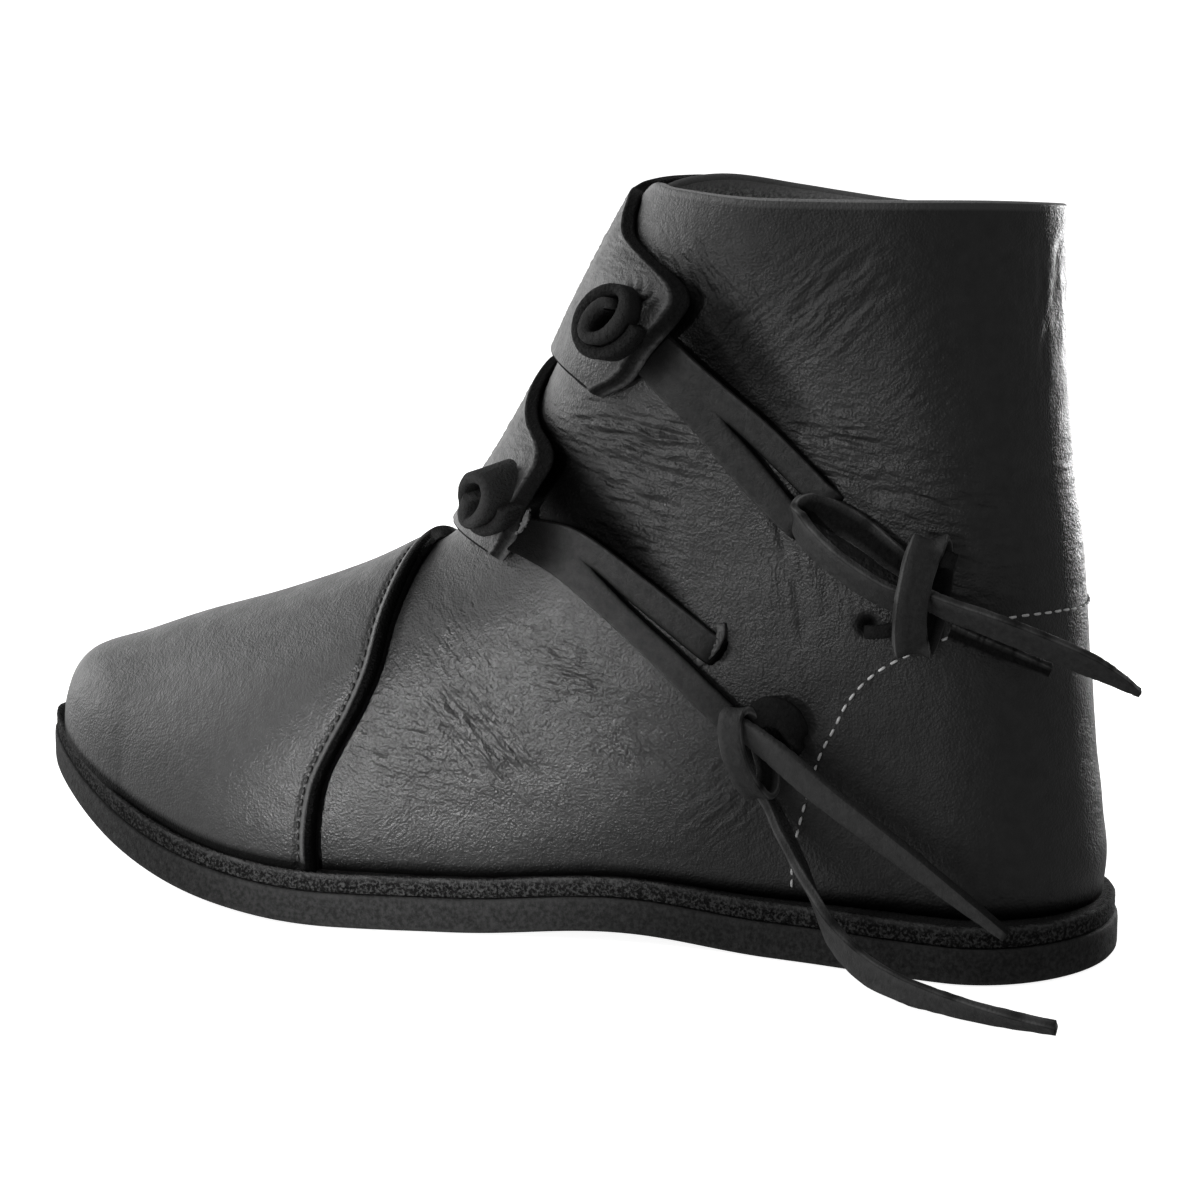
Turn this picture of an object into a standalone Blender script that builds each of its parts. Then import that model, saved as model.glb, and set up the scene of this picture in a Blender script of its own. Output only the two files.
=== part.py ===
"""Left ankle boot of black leather with two toggle flaps on a flat stitched sole.

Tables are in millimetres and the scene is in metres. +Z is up, the toe points to -Y and the
outer side of the foot faces +X. A station is the distance forward from the back of the sole,
a level is a height above the floor before the arch and toe spring lift the boot, and an angle
goes round a level's ring from the back (0) over the outer side (90) to the front (180 degrees).
"""

import math

import bmesh
import bpy
import numpy as np

MM = 0.001

# Main sizes
LENGTH = 290.0
COLLAR_HEIGHT = 180.0
OUTSOLE_THICK = 8.6
MIDSOLE_THICK = 4.6
INSOLE_THICK = 3.0
WALL = 2.2
CLEARANCE = 0.3
TOE_SPRING = 24.9
SPRING_START = 186.0
ARCH_RISE = 2.2
ARCH_START = 78.0
ARCH_END = 158.0
TOE_SWING = -12.0
SWING_START = 170.0
SOLE_TOP = OUTSOLE_THICK + MIDSOLE_THICK + CLEARANCE
FEATHER = SOLE_TOP + CLEARANCE

# Half widths of the sole at stations along the foot
SOLE_COLUMNS = ("station", "outer", "inner")
SOLE_ROWS = [
    (0.0, 38.0, 35.0),
    (35.0, 39.3, 36.0),
    (70.0, 34.4, 33.4),
    (105.0, 31.8, 31.0),
    (150.0, 37.5, 37.0),
    (205.0, 45.7, 47.0),
    (250.0, 39.5, 41.0),
    (290.0, 27.5, 28.5),
]
SOLE_HEEL_ROUND = 34.0
SOLE_TOE_ROUND = 70.0
SOLE_CHAMFER = 1.0
MIDSOLE_INSET = 0.7

# Rings of the upper: back and front station, half widths along the foot, length of the rounded ends
LEVEL_COLUMNS = (
    "level", "back", "front", "heel", "waist", "instep", "ball", "toe", "toe_round", "heel_round",
)
LEVEL_ROWS = [
    (13.5, 3.8, 282.0, 32.5, 28.8, 34.8, 41.5, 36.0, 72.0, 34.0),
    (22.0, 3.2, 281.0, 33.8, 31.0, 37.0, 43.0, 36.5, 72.0, 34.0),
    (34.0, 4.4, 275.2, 34.0, 32.8, 38.0, 42.6, 36.0, 74.0, 33.0),
    (46.0, 5.8, 259.0, 33.0, 33.2, 37.8, 41.2, 35.0, 76.0, 32.0),
    (60.0, 7.2, 237.5, 31.8, 33.2, 37.0, 39.6, 34.0, 80.0, 31.0),
    (72.0, 8.3, 213.5, 31.0, 33.2, 36.0, 38.2, 33.0, 77.0, 30.0),
    (86.0, 9.6, 183.0, 30.4, 33.2, 35.0, 37.0, 32.0, 68.0, 29.0),
    (94.0, 10.4, 169.0, 30.2, 33.2, 34.5, 36.0, 31.0, 60.0, 29.0),
    (104.0, 11.6, 161.0, 30.4, 33.4, 34.3, 35.0, 30.0, 55.0, 30.0),
    (118.0, 13.4, 151.6, 31.4, 34.2, 34.4, 34.5, 30.0, 51.0, 32.0),
    (134.0, 14.9, 142.6, 33.0, 35.2, 34.8, 34.5, 30.0, 49.0, 34.0),
    (156.0, 16.1, 131.0, 35.0, 36.6, 35.6, 35.0, 30.0, 47.0, 37.0),
    (186.0, 17.0, 114.0, 37.0, 38.0, 36.5, 36.0, 30.0, 46.0, 40.0),
]
WIDTH_STATIONS = (30.0, 100.0, 150.0, 205.0, 250.0)
TOE_POWER = 2.2
TOE_ROOT = 1.8

# Collar edge round the ring
COLLAR_COLUMNS = ("angle", "height")
COLLAR_ROWS = [
    (0.0, 178.7),
    (45.0, 180.2),
    (90.0, 180.3),
    (145.0, 180.8),
    (180.0, 181.6),
    (215.0, 182.6),
    (245.0, 181.0),
    (275.0, 177.6),
    (315.0, 175.4),
    (360.0, 178.7),
]

# Mesh fineness
RING_POINTS = 60
RING_LEVELS = (20.0, 27.0, 35.0, 44.0, 53.0, 62.0, 70.0, 78.0, 86.0, 94.0, 102.0, 111.0, 121.0, 133.0,
               146.0, 158.0, 170.0)
SOLE_STATIONS = 40

# Toe cap: station of its rear edge at each level
CAP_COLUMNS = ("level", "edge")
CAP_ROWS = [
    (13.5, 190.5),
    (29.0, 189.1),
    (36.0, 187.7),
    (45.0, 183.8),
    (54.0, 178.8),
    (64.0, 174.8),
    (75.0, 173.3),
    (96.0, 171.0),
]
CAP_TOP = 91.4
CAP_THICK = 2.5
CAP_LEVELS = (18.0, 23.0, 28.0, 33.0, 38.0, 44.0, 51.0, 59.0, 67.0, 74.0, 80.0, 84.6, 88.4)
CAP_ACROSS = 31
CAP_SEAT = 0.3

# Closing flaps: free edge on the outer side, from top to lower corner, as station and height
FLAP_COLUMNS = ("row", "station", "height")
FLAP_UPPER_ROWS = [
    (0, 116.5, 179.6),
    (1, 116.0, 175.5),
    (2, 114.5, 170.5),
    (3, 107.5, 165.5),
    (4, 101.3, 161.0),
    (5, 99.6, 157.0),
    (6, 102.0, 152.5),
    (7, 108.7, 144.0),
    (8, 113.2, 137.0),
    (9, 120.3, 132.5),
]
FLAP_LOWER_ROWS = [
    (0, 141.0, 136.5),
    (1, 142.0, 131.5),
    (2, 140.3, 126.5),
    (3, 137.0, 122.8),
    (4, 133.4, 119.5),
    (5, 134.5, 115.0),
    (6, 139.5, 109.0),
    (7, 143.5, 101.5),
    (8, 144.2, 95.0),
    (9, 146.0, 91.2),
]
FLAP_ROOT_ANGLE = 240.0
FLAP_UPPER_ROOT = (179.6, 142.0)
FLAP_LOWER_ROOT = (137.0, 98.0)
FLAP_THICK = 2.4
FLAP_BITE = 0.9
FLAP_STEPS = 18
FLAP_ACROSS = 12
FLAP_SWEEP = 4.0
FLAP_RAMP = 0.3

# Rolled toggles: station and height of the foot, lean forward and up per unit sideways
TOGGLE_UPPER_FOOT = (113.0, 151.0)
TOGGLE_UPPER_LEAN = (0.18, 0.15)
TOGGLE_UPPER_LONG = 14.0
TOGGLE_UPPER_TURNS = 2.1
TOGGLE_LOWER_FOOT = (147.5, 103.5)
TOGGLE_LOWER_LEAN = (0.40, 0.28)
TOGGLE_LOWER_LONG = 12.0
TOGGLE_LOWER_TURNS = 1.65
TOGGLE_STRIP = 2.3
TOGGLE_GAP = 0.35
TOGGLE_CORE = 1.0
TOGGLE_TALL = 1.2
TOGGLE_STEPS = 40
TOGGLE_STAND = 0.5

# How far the upper toggle stands out past the outer side of the sole
TOGGLE_REACH = 4.46

# Thong strands on the outer side: middle line as station and height, and width
STRAP_THICK = 2.0
STRAND_STEP = 0.3
STRAND_LIFT = 0.2
THONG_COLUMNS = ("row", "station", "height", "wide")
THONG_UPPER_TOP = [
    (0, 104.2, 146.4, 6.4),
    (1, 92.2, 135.2, 7.0),
    (2, 80.8, 125.3, 7.0),
    (3, 70.6, 115.6, 7.0),
]
THONG_UPPER_LOW = [
    (0, 104.9, 143.6, 6.4),
    (1, 94.4, 129.0, 7.0),
    (2, 83.6, 116.8, 7.0),
    (3, 76.6, 109.4, 7.0),
]
THONG_LOWER_TOP = [
    (0, 138.6, 99.6, 6.0),
    (1, 126.2, 98.0, 6.4),
    (2, 109.8, 87.7, 6.4),
    (3, 93.0, 75.2, 6.6),
]
THONG_LOWER_LOW = [
    (0, 138.4, 97.0, 6.0),
    (1, 126.8, 91.2, 6.4),
    (2, 111.2, 79.4, 6.6),
    (3, 99.8, 69.6, 7.0),
    (4, 89.2, 59.7, 7.0),
]
THONG_STEPS = 14

# Loose ends and knots: sideways, station, height, roll of the strap about its run, and width
ROUTE_COLUMNS = ("row", "sideways", "station", "height", "roll", "wide")
BOW_UPPER = [
    (0, 36.5, 43.0, 88.0, 0, 6.0),
    (1, 38.9, 52.0, 91.6, 0, 6.0),
    (2, 40.3, 62.0, 98.4, 0, 6.0),
    (3, 39.3, 68.2, 104.0, 0, 6.0),
    (4, 36.7, 70.4, 106.8, 0, 6.0),
    (5, 34.5, 67.4, 107.4, 0, 6.0),
    (6, 34.1, 58.0, 103.6, 0, 6.0),
    (7, 35.1, 50.0, 98.6, 0, 5.6),
    (8, 36.2, 43.2, 94.8, 0, 5.0),
]
TAIL_UPPER_LONG = [
    (0, 36.1, 41.2, 90.4, 0, 5.6),
    (1, 37.3, 36.0, 88.8, 0, 6.6),
    (2, 37.1, 24.6, 85.2, 0, 7.0),
    (3, 33.5, 8.0, 78.4, 0, 6.4),
    (4, 31.1, -0.5, 74.0, 0, 4.2),
    (5, 29.1, -6.7, 69.8, 0, 1.6),
]
TAIL_UPPER_SHORT = [
    (0, 34.7, 35.6, 82.8, 0, 5.4),
    (1, 34.7, 31.0, 81.0, 0, 5.6),
    (2, 34.3, 25.0, 78.8, 0, 5.6),
    (3, 32.5, 13.0, 74.8, 0, 5.0),
]
TAIL_LOWER_BACK = [
    (0, 40.2, 77.4, 55.6, 0, 4.6),
    (1, 39.9, 71.6, 50.8, 0, 5.2),
    (2, 39.8, 63.0, 43.4, 0, 6.4),
    (3, 41.9, 40.0, 27.8, 0, 5.8),
    (4, 46.0, 19.3, 15.2, 0, 2.0),
]
TAIL_LOWER_FLOOR = [
    (0, 36.0, 76.6, 37.6, 90, 5.0),
    (1, 36.7, 74.0, 33.4, 90, 5.0),
    (2, 38.2, 69.9, 26.4, 80, 5.4),
    (3, 41.8, 64.8, 19.9, 60, 6.0),
    (4, 45.1, 60.4, 14.4, 40, 6.4),
    (5, 46.4, 53.4, 9.4, 20, 6.4),
    (6, 46.8, 44.4, 5.8, 10, 6.0),
    (7, 50.0, 36.4, 4.2, 20, 5.6),
    (8, 55.0, 28.0, 3.4, 35, 5.0),
    (9, 62.0, 16.3, 2.8, 50, 4.2),
    (10, 67.6, 4.9, 2.4, 60, 3.0),
]
ROUTE_STEPS = 22

# Rings of strap that bind the loose ends: middle, reach along three directions, run and width
RING_UPPER_MIDDLE = (36.6, 41.9, 90.6)
RING_UPPER_REACH = (4.4, 1.6, 12.4)
RING_UPPER_RUN = (0.0, 1.0, 0.0)
RING_UPPER_WIDE = 7.4
RING_LOWER_MIDDLE = (37.0, 78.0, 51.0)
RING_LOWER_REACH = (1.6, 6.6, 11.4)
RING_LOWER_RUN = (1.0, 0.0, 0.0)
RING_LOWER_WIDE = 5.0
RING_STEPS = 24


def curve(xs, ys):
    """Smooth curve through the rows of a table, as a function of its first column."""
    xs = np.asarray(xs, float)
    ys = np.asarray(ys, float)
    slopes = np.gradient(ys, xs)

    def value(x):
        x = np.clip(x, xs[0], xs[-1])
        i = np.clip(np.searchsorted(xs, x) - 1, 0, len(xs) - 2)
        step = xs[i + 1] - xs[i]
        t = (x - xs[i]) / step
        start = ys[i] * (1 + 2 * t) * (1 - t) ** 2 + slopes[i] * step * t * (1 - t) ** 2
        end = ys[i + 1] * (3 - 2 * t) * t**2 - slopes[i + 1] * step * t**2 * (1 - t)
        return start + end

    return value


def columns(names, rows):
    """A curve for each column of a table after its first."""
    first = [row[0] for row in rows]
    return {name: curve(first, [row[i] for row in rows]) for i, name in enumerate(names) if i}


SOLE = columns(SOLE_COLUMNS, SOLE_ROWS)
LEVEL = columns(LEVEL_COLUMNS, LEVEL_ROWS)
COLLAR = columns(COLLAR_COLUMNS, COLLAR_ROWS)
CAP = columns(CAP_COLUMNS, CAP_ROWS)
WIDTH_SHARES = [curve(WIDTH_STATIONS, unit) for unit in np.eye(len(WIDTH_STATIONS))]


def rise(s):
    """Lift of the whole boot above the floor at a station: arch, then toe spring."""
    arch = np.clip((s - ARCH_START) / (ARCH_END - ARCH_START), 0, 1)
    toe = np.clip((s - SPRING_START) / (LENGTH - SPRING_START), 0, 1)
    return ARCH_RISE * np.sin(math.pi * arch) ** 2 + TOE_SPRING * toe**2


def centre_line(s):
    """Sideways swing of the foot's middle line, towards the inner side at the toe."""
    return TOE_SWING * np.clip((s - SWING_START) / (LENGTH - SWING_START), 0, 1) ** 1.6


def round_ends(behind, ahead, heel_round, toe_round):
    """Share of the full width near a rounded back and front end."""
    heel = np.clip(behind / heel_round, 0, 1)
    toe = np.clip(ahead / toe_round, 0, 1)
    back = np.sqrt(1 - (1 - heel) ** 2)
    front = (1 - (1 - toe) ** TOE_POWER) ** (1 / TOE_ROOT)
    return back * front


def sole_edges(s, inset=0.0):
    """Outer and inner edge of the sole at a station."""
    share = round_ends(s - inset, LENGTH - inset - s, SOLE_HEEL_ROUND, SOLE_TOE_ROUND)
    middle = centre_line(s)
    return middle + (SOLE["outer"](s) - inset) * share, middle - (SOLE["inner"](s) - inset) * share


def sole_stations(inset=0.0):
    angles = (np.arange(SOLE_STATIONS) + 0.5) * math.pi / SOLE_STATIONS
    return LENGTH / 2 - (LENGTH / 2 - inset) * np.cos(angles)


SOLE_SIDES = [pick(edge) for pick, edge in zip((np.max, np.min), sole_edges(sole_stations()))]
MIDDLE_X = (SOLE_SIDES[0] + TOGGLE_REACH + SOLE_SIDES[1]) / 2


def place(x, s, z):
    """Points of the part, in millimetres, from the foot's own sideways, station and height."""
    return np.stack(np.broadcast_arrays(x - MIDDLE_X, LENGTH / 2 - s, z), axis=-1).astype(float)


def ring(level, angle):
    """Point of the upper's outer face at a level and an angle in degrees."""
    turn = np.radians(angle)
    back = LEVEL["back"](level)
    front = LEVEL["front"](level)
    s = (back + front) / 2 - (front - back) / 2 * np.cos(turn)
    names = LEVEL_COLUMNS[3:8]
    full = sum(share(s) * LEVEL[name](level) for share, name in zip(WIDTH_SHARES, names))
    ends = round_ends(s - back, front - s, LEVEL["heel_round"](level), LEVEL["toe_round"](level))
    x = centre_line(s) + full * ends * np.sign(np.sin(turn))
    return place(x, s, level + rise(s))


def face(level, angle, offset=0.0, flat=False):
    """Point at an offset out from the upper's outer face; a flat one stays on its own level."""
    level, angle = np.broadcast_arrays(np.asarray(level, float), np.asarray(angle, float))
    up = ring(level + 0.2, angle) - ring(level - 0.2, angle)
    along = ring(level, angle + 0.4) - ring(level, angle - 0.4)
    normal = np.cross(up, along)
    if flat:
        normal[..., 2] = 0.0
    normal /= np.linalg.norm(normal, axis=-1, keepdims=True)
    points = ring(level, angle) + np.asarray(offset)[..., None] * normal
    if flat:
        points[..., 2] = level + rise(LENGTH / 2 - points[..., 1])
    return points


def angle_at(level, s):
    """Angle of the outer side's point at a station."""
    back = LEVEL["back"](level)
    front = LEVEL["front"](level)
    return np.degrees(np.arccos(np.clip(((back + front) / 2 - s) / ((front - back) / 2), -1, 1)))


def collar_level(level, angle):
    """Level raised or lowered towards the collar's own edge line."""
    share = np.clip((level - FEATHER) / (COLLAR_HEIGHT - FEATHER), 0, None) ** 3
    return level + (COLLAR["height"](np.mod(angle, 360)) - COLLAR_HEIGHT) * share


def material(name, colour, roughness):
    made = bpy.data.materials.new(name)
    made.use_nodes = True
    shader = made.node_tree.nodes["Principled BSDF"]
    shader.inputs["Base Color"].default_value = (*colour, 1.0)
    shader.inputs["Roughness"].default_value = roughness
    return made


def add_piece(name, points, faces, finish, smooth=True):
    """One named object from points in millimetres and its faces, wound outwards."""
    mesh = bpy.data.meshes.new(name)
    mesh.from_pydata([tuple(p) for p in np.asarray(points, float) * MM], [], faces)
    work = bmesh.new()
    work.from_mesh(mesh)
    bmesh.ops.recalc_face_normals(work, faces=work.faces)
    work.to_mesh(mesh)
    work.free()
    mesh.polygons.foreach_set("use_smooth", [smooth] * len(mesh.polygons))
    mesh.materials.append(finish)
    piece = bpy.data.objects.new(name, mesh)
    bpy.context.scene.collection.objects.link(piece)
    return piece


def grid_faces(rows, cols, closed, start=0):
    """Quads of a grid of points, row after row, closed round its columns or open."""
    faces = []
    for r in range(rows - 1):
        for c in range(cols if closed else cols - 1):
            d = (c + 1) % cols
            a = start + r * cols
            b = a + cols
            faces.append((a + c, a + d, b + d, b + c))
    return faces


def shell(name, outside, inside, closed, finish):
    """Solid between two grids of points of the same shape."""
    rows, cols = outside.shape[:2]
    count = rows * cols
    faces = grid_faces(rows, cols, closed) + grid_faces(rows, cols, closed, count)
    border = [[(0, c) for c in range(cols)], [(rows - 1, c) for c in range(cols)]]
    if closed:
        border = [line + line[:1] for line in border]
    else:
        border += [[(r, 0) for r in range(rows)], [(r, cols - 1) for r in range(rows)]]
    for line in border:
        for (r, c), (r2, c2) in zip(line, line[1:]):
            a = r * cols + c
            b = r2 * cols + c2
            faces.append((a, b, b + count, a + count))
    points = np.concatenate([outside.reshape(-1, 3), inside.reshape(-1, 3)])
    return add_piece(name, points, faces, finish)


def loft(name, sections, finish, smooth=True):
    """Solid through closed sections of equal point count, with flat ends."""
    count, size = len(sections), len(sections[0])
    faces = grid_faces(count, size, True)
    faces.append(tuple(range(size)))
    faces.append(tuple(range((count - 1) * size, count * size)))
    return add_piece(name, np.concatenate(sections), faces, finish, smooth)


def join(piece, others):
    """Union of a piece with others, which stay as hidden helpers."""
    for other in others:
        step = piece.modifiers.new("join_" + other.name, "BOOLEAN")
        step.operation = "UNION"
        step.solver = "EXACT"
        step.object = other
        other.hide_render = True
        other.display_type = "WIRE"


def sole_layer(name, bottom, top, inset, chamfer, finish):
    """Layer of the sole between two heights, with its lower edge chamfered."""
    sections = []
    for s in sole_stations(inset):
        outer, inner = sole_edges(s, inset)
        trim = min(chamfer, (outer - inner) / 4)
        outline = [
            (outer - trim, bottom),
            (outer, bottom + trim),
            (outer, top),
            (inner, top),
            (inner, bottom + trim),
            (inner + trim, bottom),
        ]
        if not chamfer:
            outline = [outline[i] for i in (1, 2, 3, 4)]
        sections.append(np.array([place(x, s, z + rise(s)) for x, z in outline]))
    return loft(name, sections, finish, smooth=False)


def build_upper(finish):
    """Hollow body of the boot: vamp and quarters in one wall, open at the collar and below."""
    angles = np.arange(RING_POINTS) * 360.0 / RING_POINTS
    levels = (FEATHER,) + RING_LEVELS + (COLLAR_HEIGHT,)
    outside, inside = [], []
    for level in levels:
        rows = collar_level(level, angles)
        rim = level in (FEATHER, COLLAR_HEIGHT)
        outside.append(face(rows, angles))
        inside.append(face(rows, angles, -WALL, flat=rim))
    return shell("upper", np.array(outside), np.array(inside), True, finish)


def build_insole(finish):
    """Flat inner sole inside the upper's wall."""
    sections = []
    angles = (np.arange(SOLE_STATIONS) + 0.5) * 180.0 / SOLE_STATIONS
    inset = -WALL - 2 * CLEARANCE
    for angle in angles:
        outer = face(FEATHER, angle, inset, flat=True)
        inner = face(FEATHER, 360.0 - angle, inset, flat=True)
        lift = np.array([0.0, 0.0, INSOLE_THICK])
        sections.append(np.array([outer, outer + lift, inner + lift, inner]))
    return loft("insole", sections, finish, smooth=False)


def build_cap(finish):
    """Toe cap laid over the front of the upper."""
    outside, inside = [], []
    for level in (FEATHER,) + CAP_LEVELS + (CAP_TOP,):
        edge = angle_at(level, CAP["edge"](level))
        angles = np.linspace(edge, 360.0 - edge, CAP_ACROSS)
        rim = level == FEATHER
        outside.append(face(level, angles, CLEARANCE + CAP_SEAT + CAP_THICK, flat=rim))
        inside.append(face(level, angles, CLEARANCE + CAP_SEAT, flat=rim))
    return shell("toe_cap", np.array(outside), np.array(inside), False, finish)


def build_flap(name, rows, root, finish):
    """Flap that leaves the inner side of the upper, crosses the front and ends in a free tab."""
    edge = columns(FLAP_COLUMNS, rows)
    outside, inside = [], []
    for v in np.linspace(0, 1, FLAP_STEPS):
        station = edge["station"](v * rows[-1][0])
        level = edge["height"](v * rows[-1][0]) - rise(station)
        start = angle_at(level, station)
        u = np.linspace(0, 1, FLAP_ACROSS)
        angles = start + (FLAP_ROOT_ANGLE - start) * u
        root_level = root[0] + (root[1] - root[0]) * v
        levels = level + (root_level - level) * (1 - (1 - u) ** FLAP_SWEEP)
        levels = np.minimum(levels, collar_level(COLLAR_HEIGHT, angles) - 0.6)
        ramp = np.clip((1 - u) / FLAP_RAMP, 0, 1)
        height = FLAP_THICK * ramp * ramp * (3 - 2 * ramp) - 0.4 * (1 - ramp)
        outside.append(face(levels, angles, height))
        inside.append(face(levels, angles, -FLAP_BITE))
    return shell(name, np.array(outside), np.array(inside), False, finish)


def unit(vector):
    return vector / np.linalg.norm(vector, axis=-1, keepdims=True)


def build_toggle(name, foot, lean, long, turns, finish):
    """Strip of leather rolled up into a short toggle, cut where it stands on its flap."""
    station, height = foot
    level = height - rise(station)
    angle = angle_at(level, station)
    base = face(level, angle, FLAP_THICK + TOGGLE_STAND)
    normal = unit(base - face(level, angle))
    axis = unit(np.array((1.0, -lean[0], lean[1])))
    up = unit(np.array((0.0, 0.0, 1.0)) - axis[2] * axis)
    side = np.cross(up, axis)
    sections = []
    for share in np.linspace(0, 1, TOGGLE_STEPS):
        turn = share * turns * 2 * math.pi
        radius = TOGGLE_CORE + (TOGGLE_STRIP + TOGGLE_GAP) * share * turns
        out = math.cos(turn) * side + math.sin(turn) * up * TOGGLE_TALL
        offsets = [out * radius, out * (radius + TOGGLE_STRIP)]
        foots = [base + o - axis * (o @ normal) / (axis @ normal) for o in offsets]
        ends = [base + o + axis * long for o in reversed(offsets)]
        sections.append(np.array(foots + ends))
    return loft(name, sections, finish)


def sweep(name, points, sides, widths, thick, finish):
    """Flat strap along a line of points, with its width along the given sides."""
    runs = unit(np.gradient(points, axis=0))
    sides = unit(sides - np.sum(sides * runs, axis=1, keepdims=True) * runs)
    faces = np.cross(runs, sides)
    sections = []
    for p, side, out, wide in zip(points, sides, faces, widths):
        a = side * wide / 2
        b = out * thick / 2
        sections.append(np.array([p - a - b, p + a - b, p + a + b, p - a + b]))
    return loft(name, sections, finish)


def strand(name, rows, thick, finish):
    """Strand of a thong that lies on the outer side of the upper."""
    line = columns(THONG_COLUMNS, rows)
    t = np.linspace(0, rows[-1][0], THONG_STEPS)
    stations = line["station"](t)
    levels = line["height"](t) - rise(stations)
    angles = angle_at(levels, stations)
    ground = face(levels, angles)
    normals = unit(face(levels, angles, 1.0) - ground)
    points = ground + normals * (CLEARANCE + STRAND_LIFT + thick / 2)
    sides = np.cross(normals, np.gradient(points, axis=0))
    return sweep(name, points, sides, line["wide"](t), thick, finish)


def cord(name, rows, finish):
    """Loose flat strap along a route."""
    line = columns(ROUTE_COLUMNS, rows)
    t = np.linspace(0, rows[-1][0], ROUTE_STEPS)
    points = place(line["sideways"](t), line["station"](t), line["height"](t))
    runs = unit(np.gradient(points, axis=0))
    up = unit(np.array((0.0, 0.0, 1.0)) - runs[:, 2:] * runs)
    out = np.cross(runs, up)
    roll = np.radians(line["roll"](t))[:, None]
    sides = np.cos(roll) * up + np.sin(roll) * out
    return sweep(name, points, sides, line["wide"](t), STRAP_THICK, finish)


def binding(name, middle, reach, run, wide, finish):
    """Closed ring of strap round the loose ends, its width along their run."""
    turn = np.arange(RING_STEPS) * 2 * math.pi / RING_STEPS
    x = middle[0] + reach[0] * np.cos(turn)
    s = middle[1] + reach[1] * np.cos(turn)
    z = middle[2] + reach[2] * np.sin(turn)
    points = place(x, s, z)
    runs = unit(np.roll(points, -1, axis=0) - np.roll(points, 1, axis=0))
    along = np.array((run[0], -run[1], run[2]))
    sides = unit(along - np.sum(along * runs, axis=1, keepdims=True) * runs)
    outs = np.cross(runs, sides)
    corners = ((-1, -1), (1, -1), (1, 1), (-1, 1))
    rows = [points + sides * a * wide / 2 + outs * b * STRAP_THICK / 2 for a, b in corners]
    ring_rows = np.array(rows).transpose(1, 0, 2).reshape(-1, 3)
    faces = grid_faces(RING_STEPS, 4, True)
    last = (RING_STEPS - 1) * 4
    faces += [(last + c, last + (c + 1) % 4, (c + 1) % 4, c) for c in range(4)]
    return add_piece(name, ring_rows, faces, finish)


for old in list(bpy.data.objects):
    bpy.data.objects.remove(old, do_unlink=True)

BLACK_LEATHER = material("black_leather", (0.03, 0.03, 0.032), 0.45)
SOLE_RUBBER = material("sole_rubber", (0.05, 0.05, 0.05), 0.7)
RAW_LEATHER = material("raw_leather", (0.03, 0.03, 0.03), 0.9)

sole_layer("outsole", 0.0, OUTSOLE_THICK, 0.0, SOLE_CHAMFER, SOLE_RUBBER)
sole_layer("midsole", OUTSOLE_THICK + CLEARANCE, SOLE_TOP, MIDSOLE_INSET, 0.0, RAW_LEATHER)
build_insole(RAW_LEATHER)
upper = build_upper(BLACK_LEATHER)
build_cap(BLACK_LEATHER)
join(upper, [
    build_flap("flap_upper", FLAP_UPPER_ROWS, FLAP_UPPER_ROOT, BLACK_LEATHER),
    build_flap("flap_lower", FLAP_LOWER_ROWS, FLAP_LOWER_ROOT, BLACK_LEATHER),
])
build_toggle("toggle_upper", TOGGLE_UPPER_FOOT, TOGGLE_UPPER_LEAN, TOGGLE_UPPER_LONG,
             TOGGLE_UPPER_TURNS, RAW_LEATHER)
build_toggle("toggle_lower", TOGGLE_LOWER_FOOT, TOGGLE_LOWER_LEAN, TOGGLE_LOWER_LONG,
             TOGGLE_LOWER_TURNS, RAW_LEATHER)
thong_upper = strand("thong_upper", THONG_UPPER_TOP, STRAP_THICK, BLACK_LEATHER)
low_upper = strand("thong_upper_low", THONG_UPPER_LOW, STRAP_THICK + STRAND_STEP, BLACK_LEATHER)
join(thong_upper, [low_upper])
thong_lower = strand("thong_lower", THONG_LOWER_TOP, STRAP_THICK, BLACK_LEATHER)
low_lower = strand("thong_lower_low", THONG_LOWER_LOW, STRAP_THICK + STRAND_STEP, BLACK_LEATHER)
join(thong_lower, [low_lower])
cord("bow_upper", BOW_UPPER, BLACK_LEATHER)
cord("tail_upper_long", TAIL_UPPER_LONG, BLACK_LEATHER)
cord("tail_upper_short", TAIL_UPPER_SHORT, BLACK_LEATHER)
cord("tail_lower_back", TAIL_LOWER_BACK, BLACK_LEATHER)
cord("tail_lower_floor", TAIL_LOWER_FLOOR, BLACK_LEATHER)
binding("knot_upper", RING_UPPER_MIDDLE, RING_UPPER_REACH, RING_UPPER_RUN, RING_UPPER_WIDE,
        BLACK_LEATHER)
binding("knot_lower", RING_LOWER_MIDDLE, RING_LOWER_REACH, RING_LOWER_RUN, RING_LOWER_WIDE,
        BLACK_LEATHER)
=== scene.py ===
"""Looks of the left ankle boot: leather, seams, straps, toggles and a plain white studio.

Tables are in millimetres and the scene is in metres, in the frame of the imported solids: +Z is up,
the toe points to -Y and the outer side faces +X. A station is the distance forward from the back
of the sole, a level is a height before the arch and toe spring lift the boot, and an angle goes
round a level's ring from the back (0) over the outer side (90) to the front (180 degrees).
"""

import math

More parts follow.
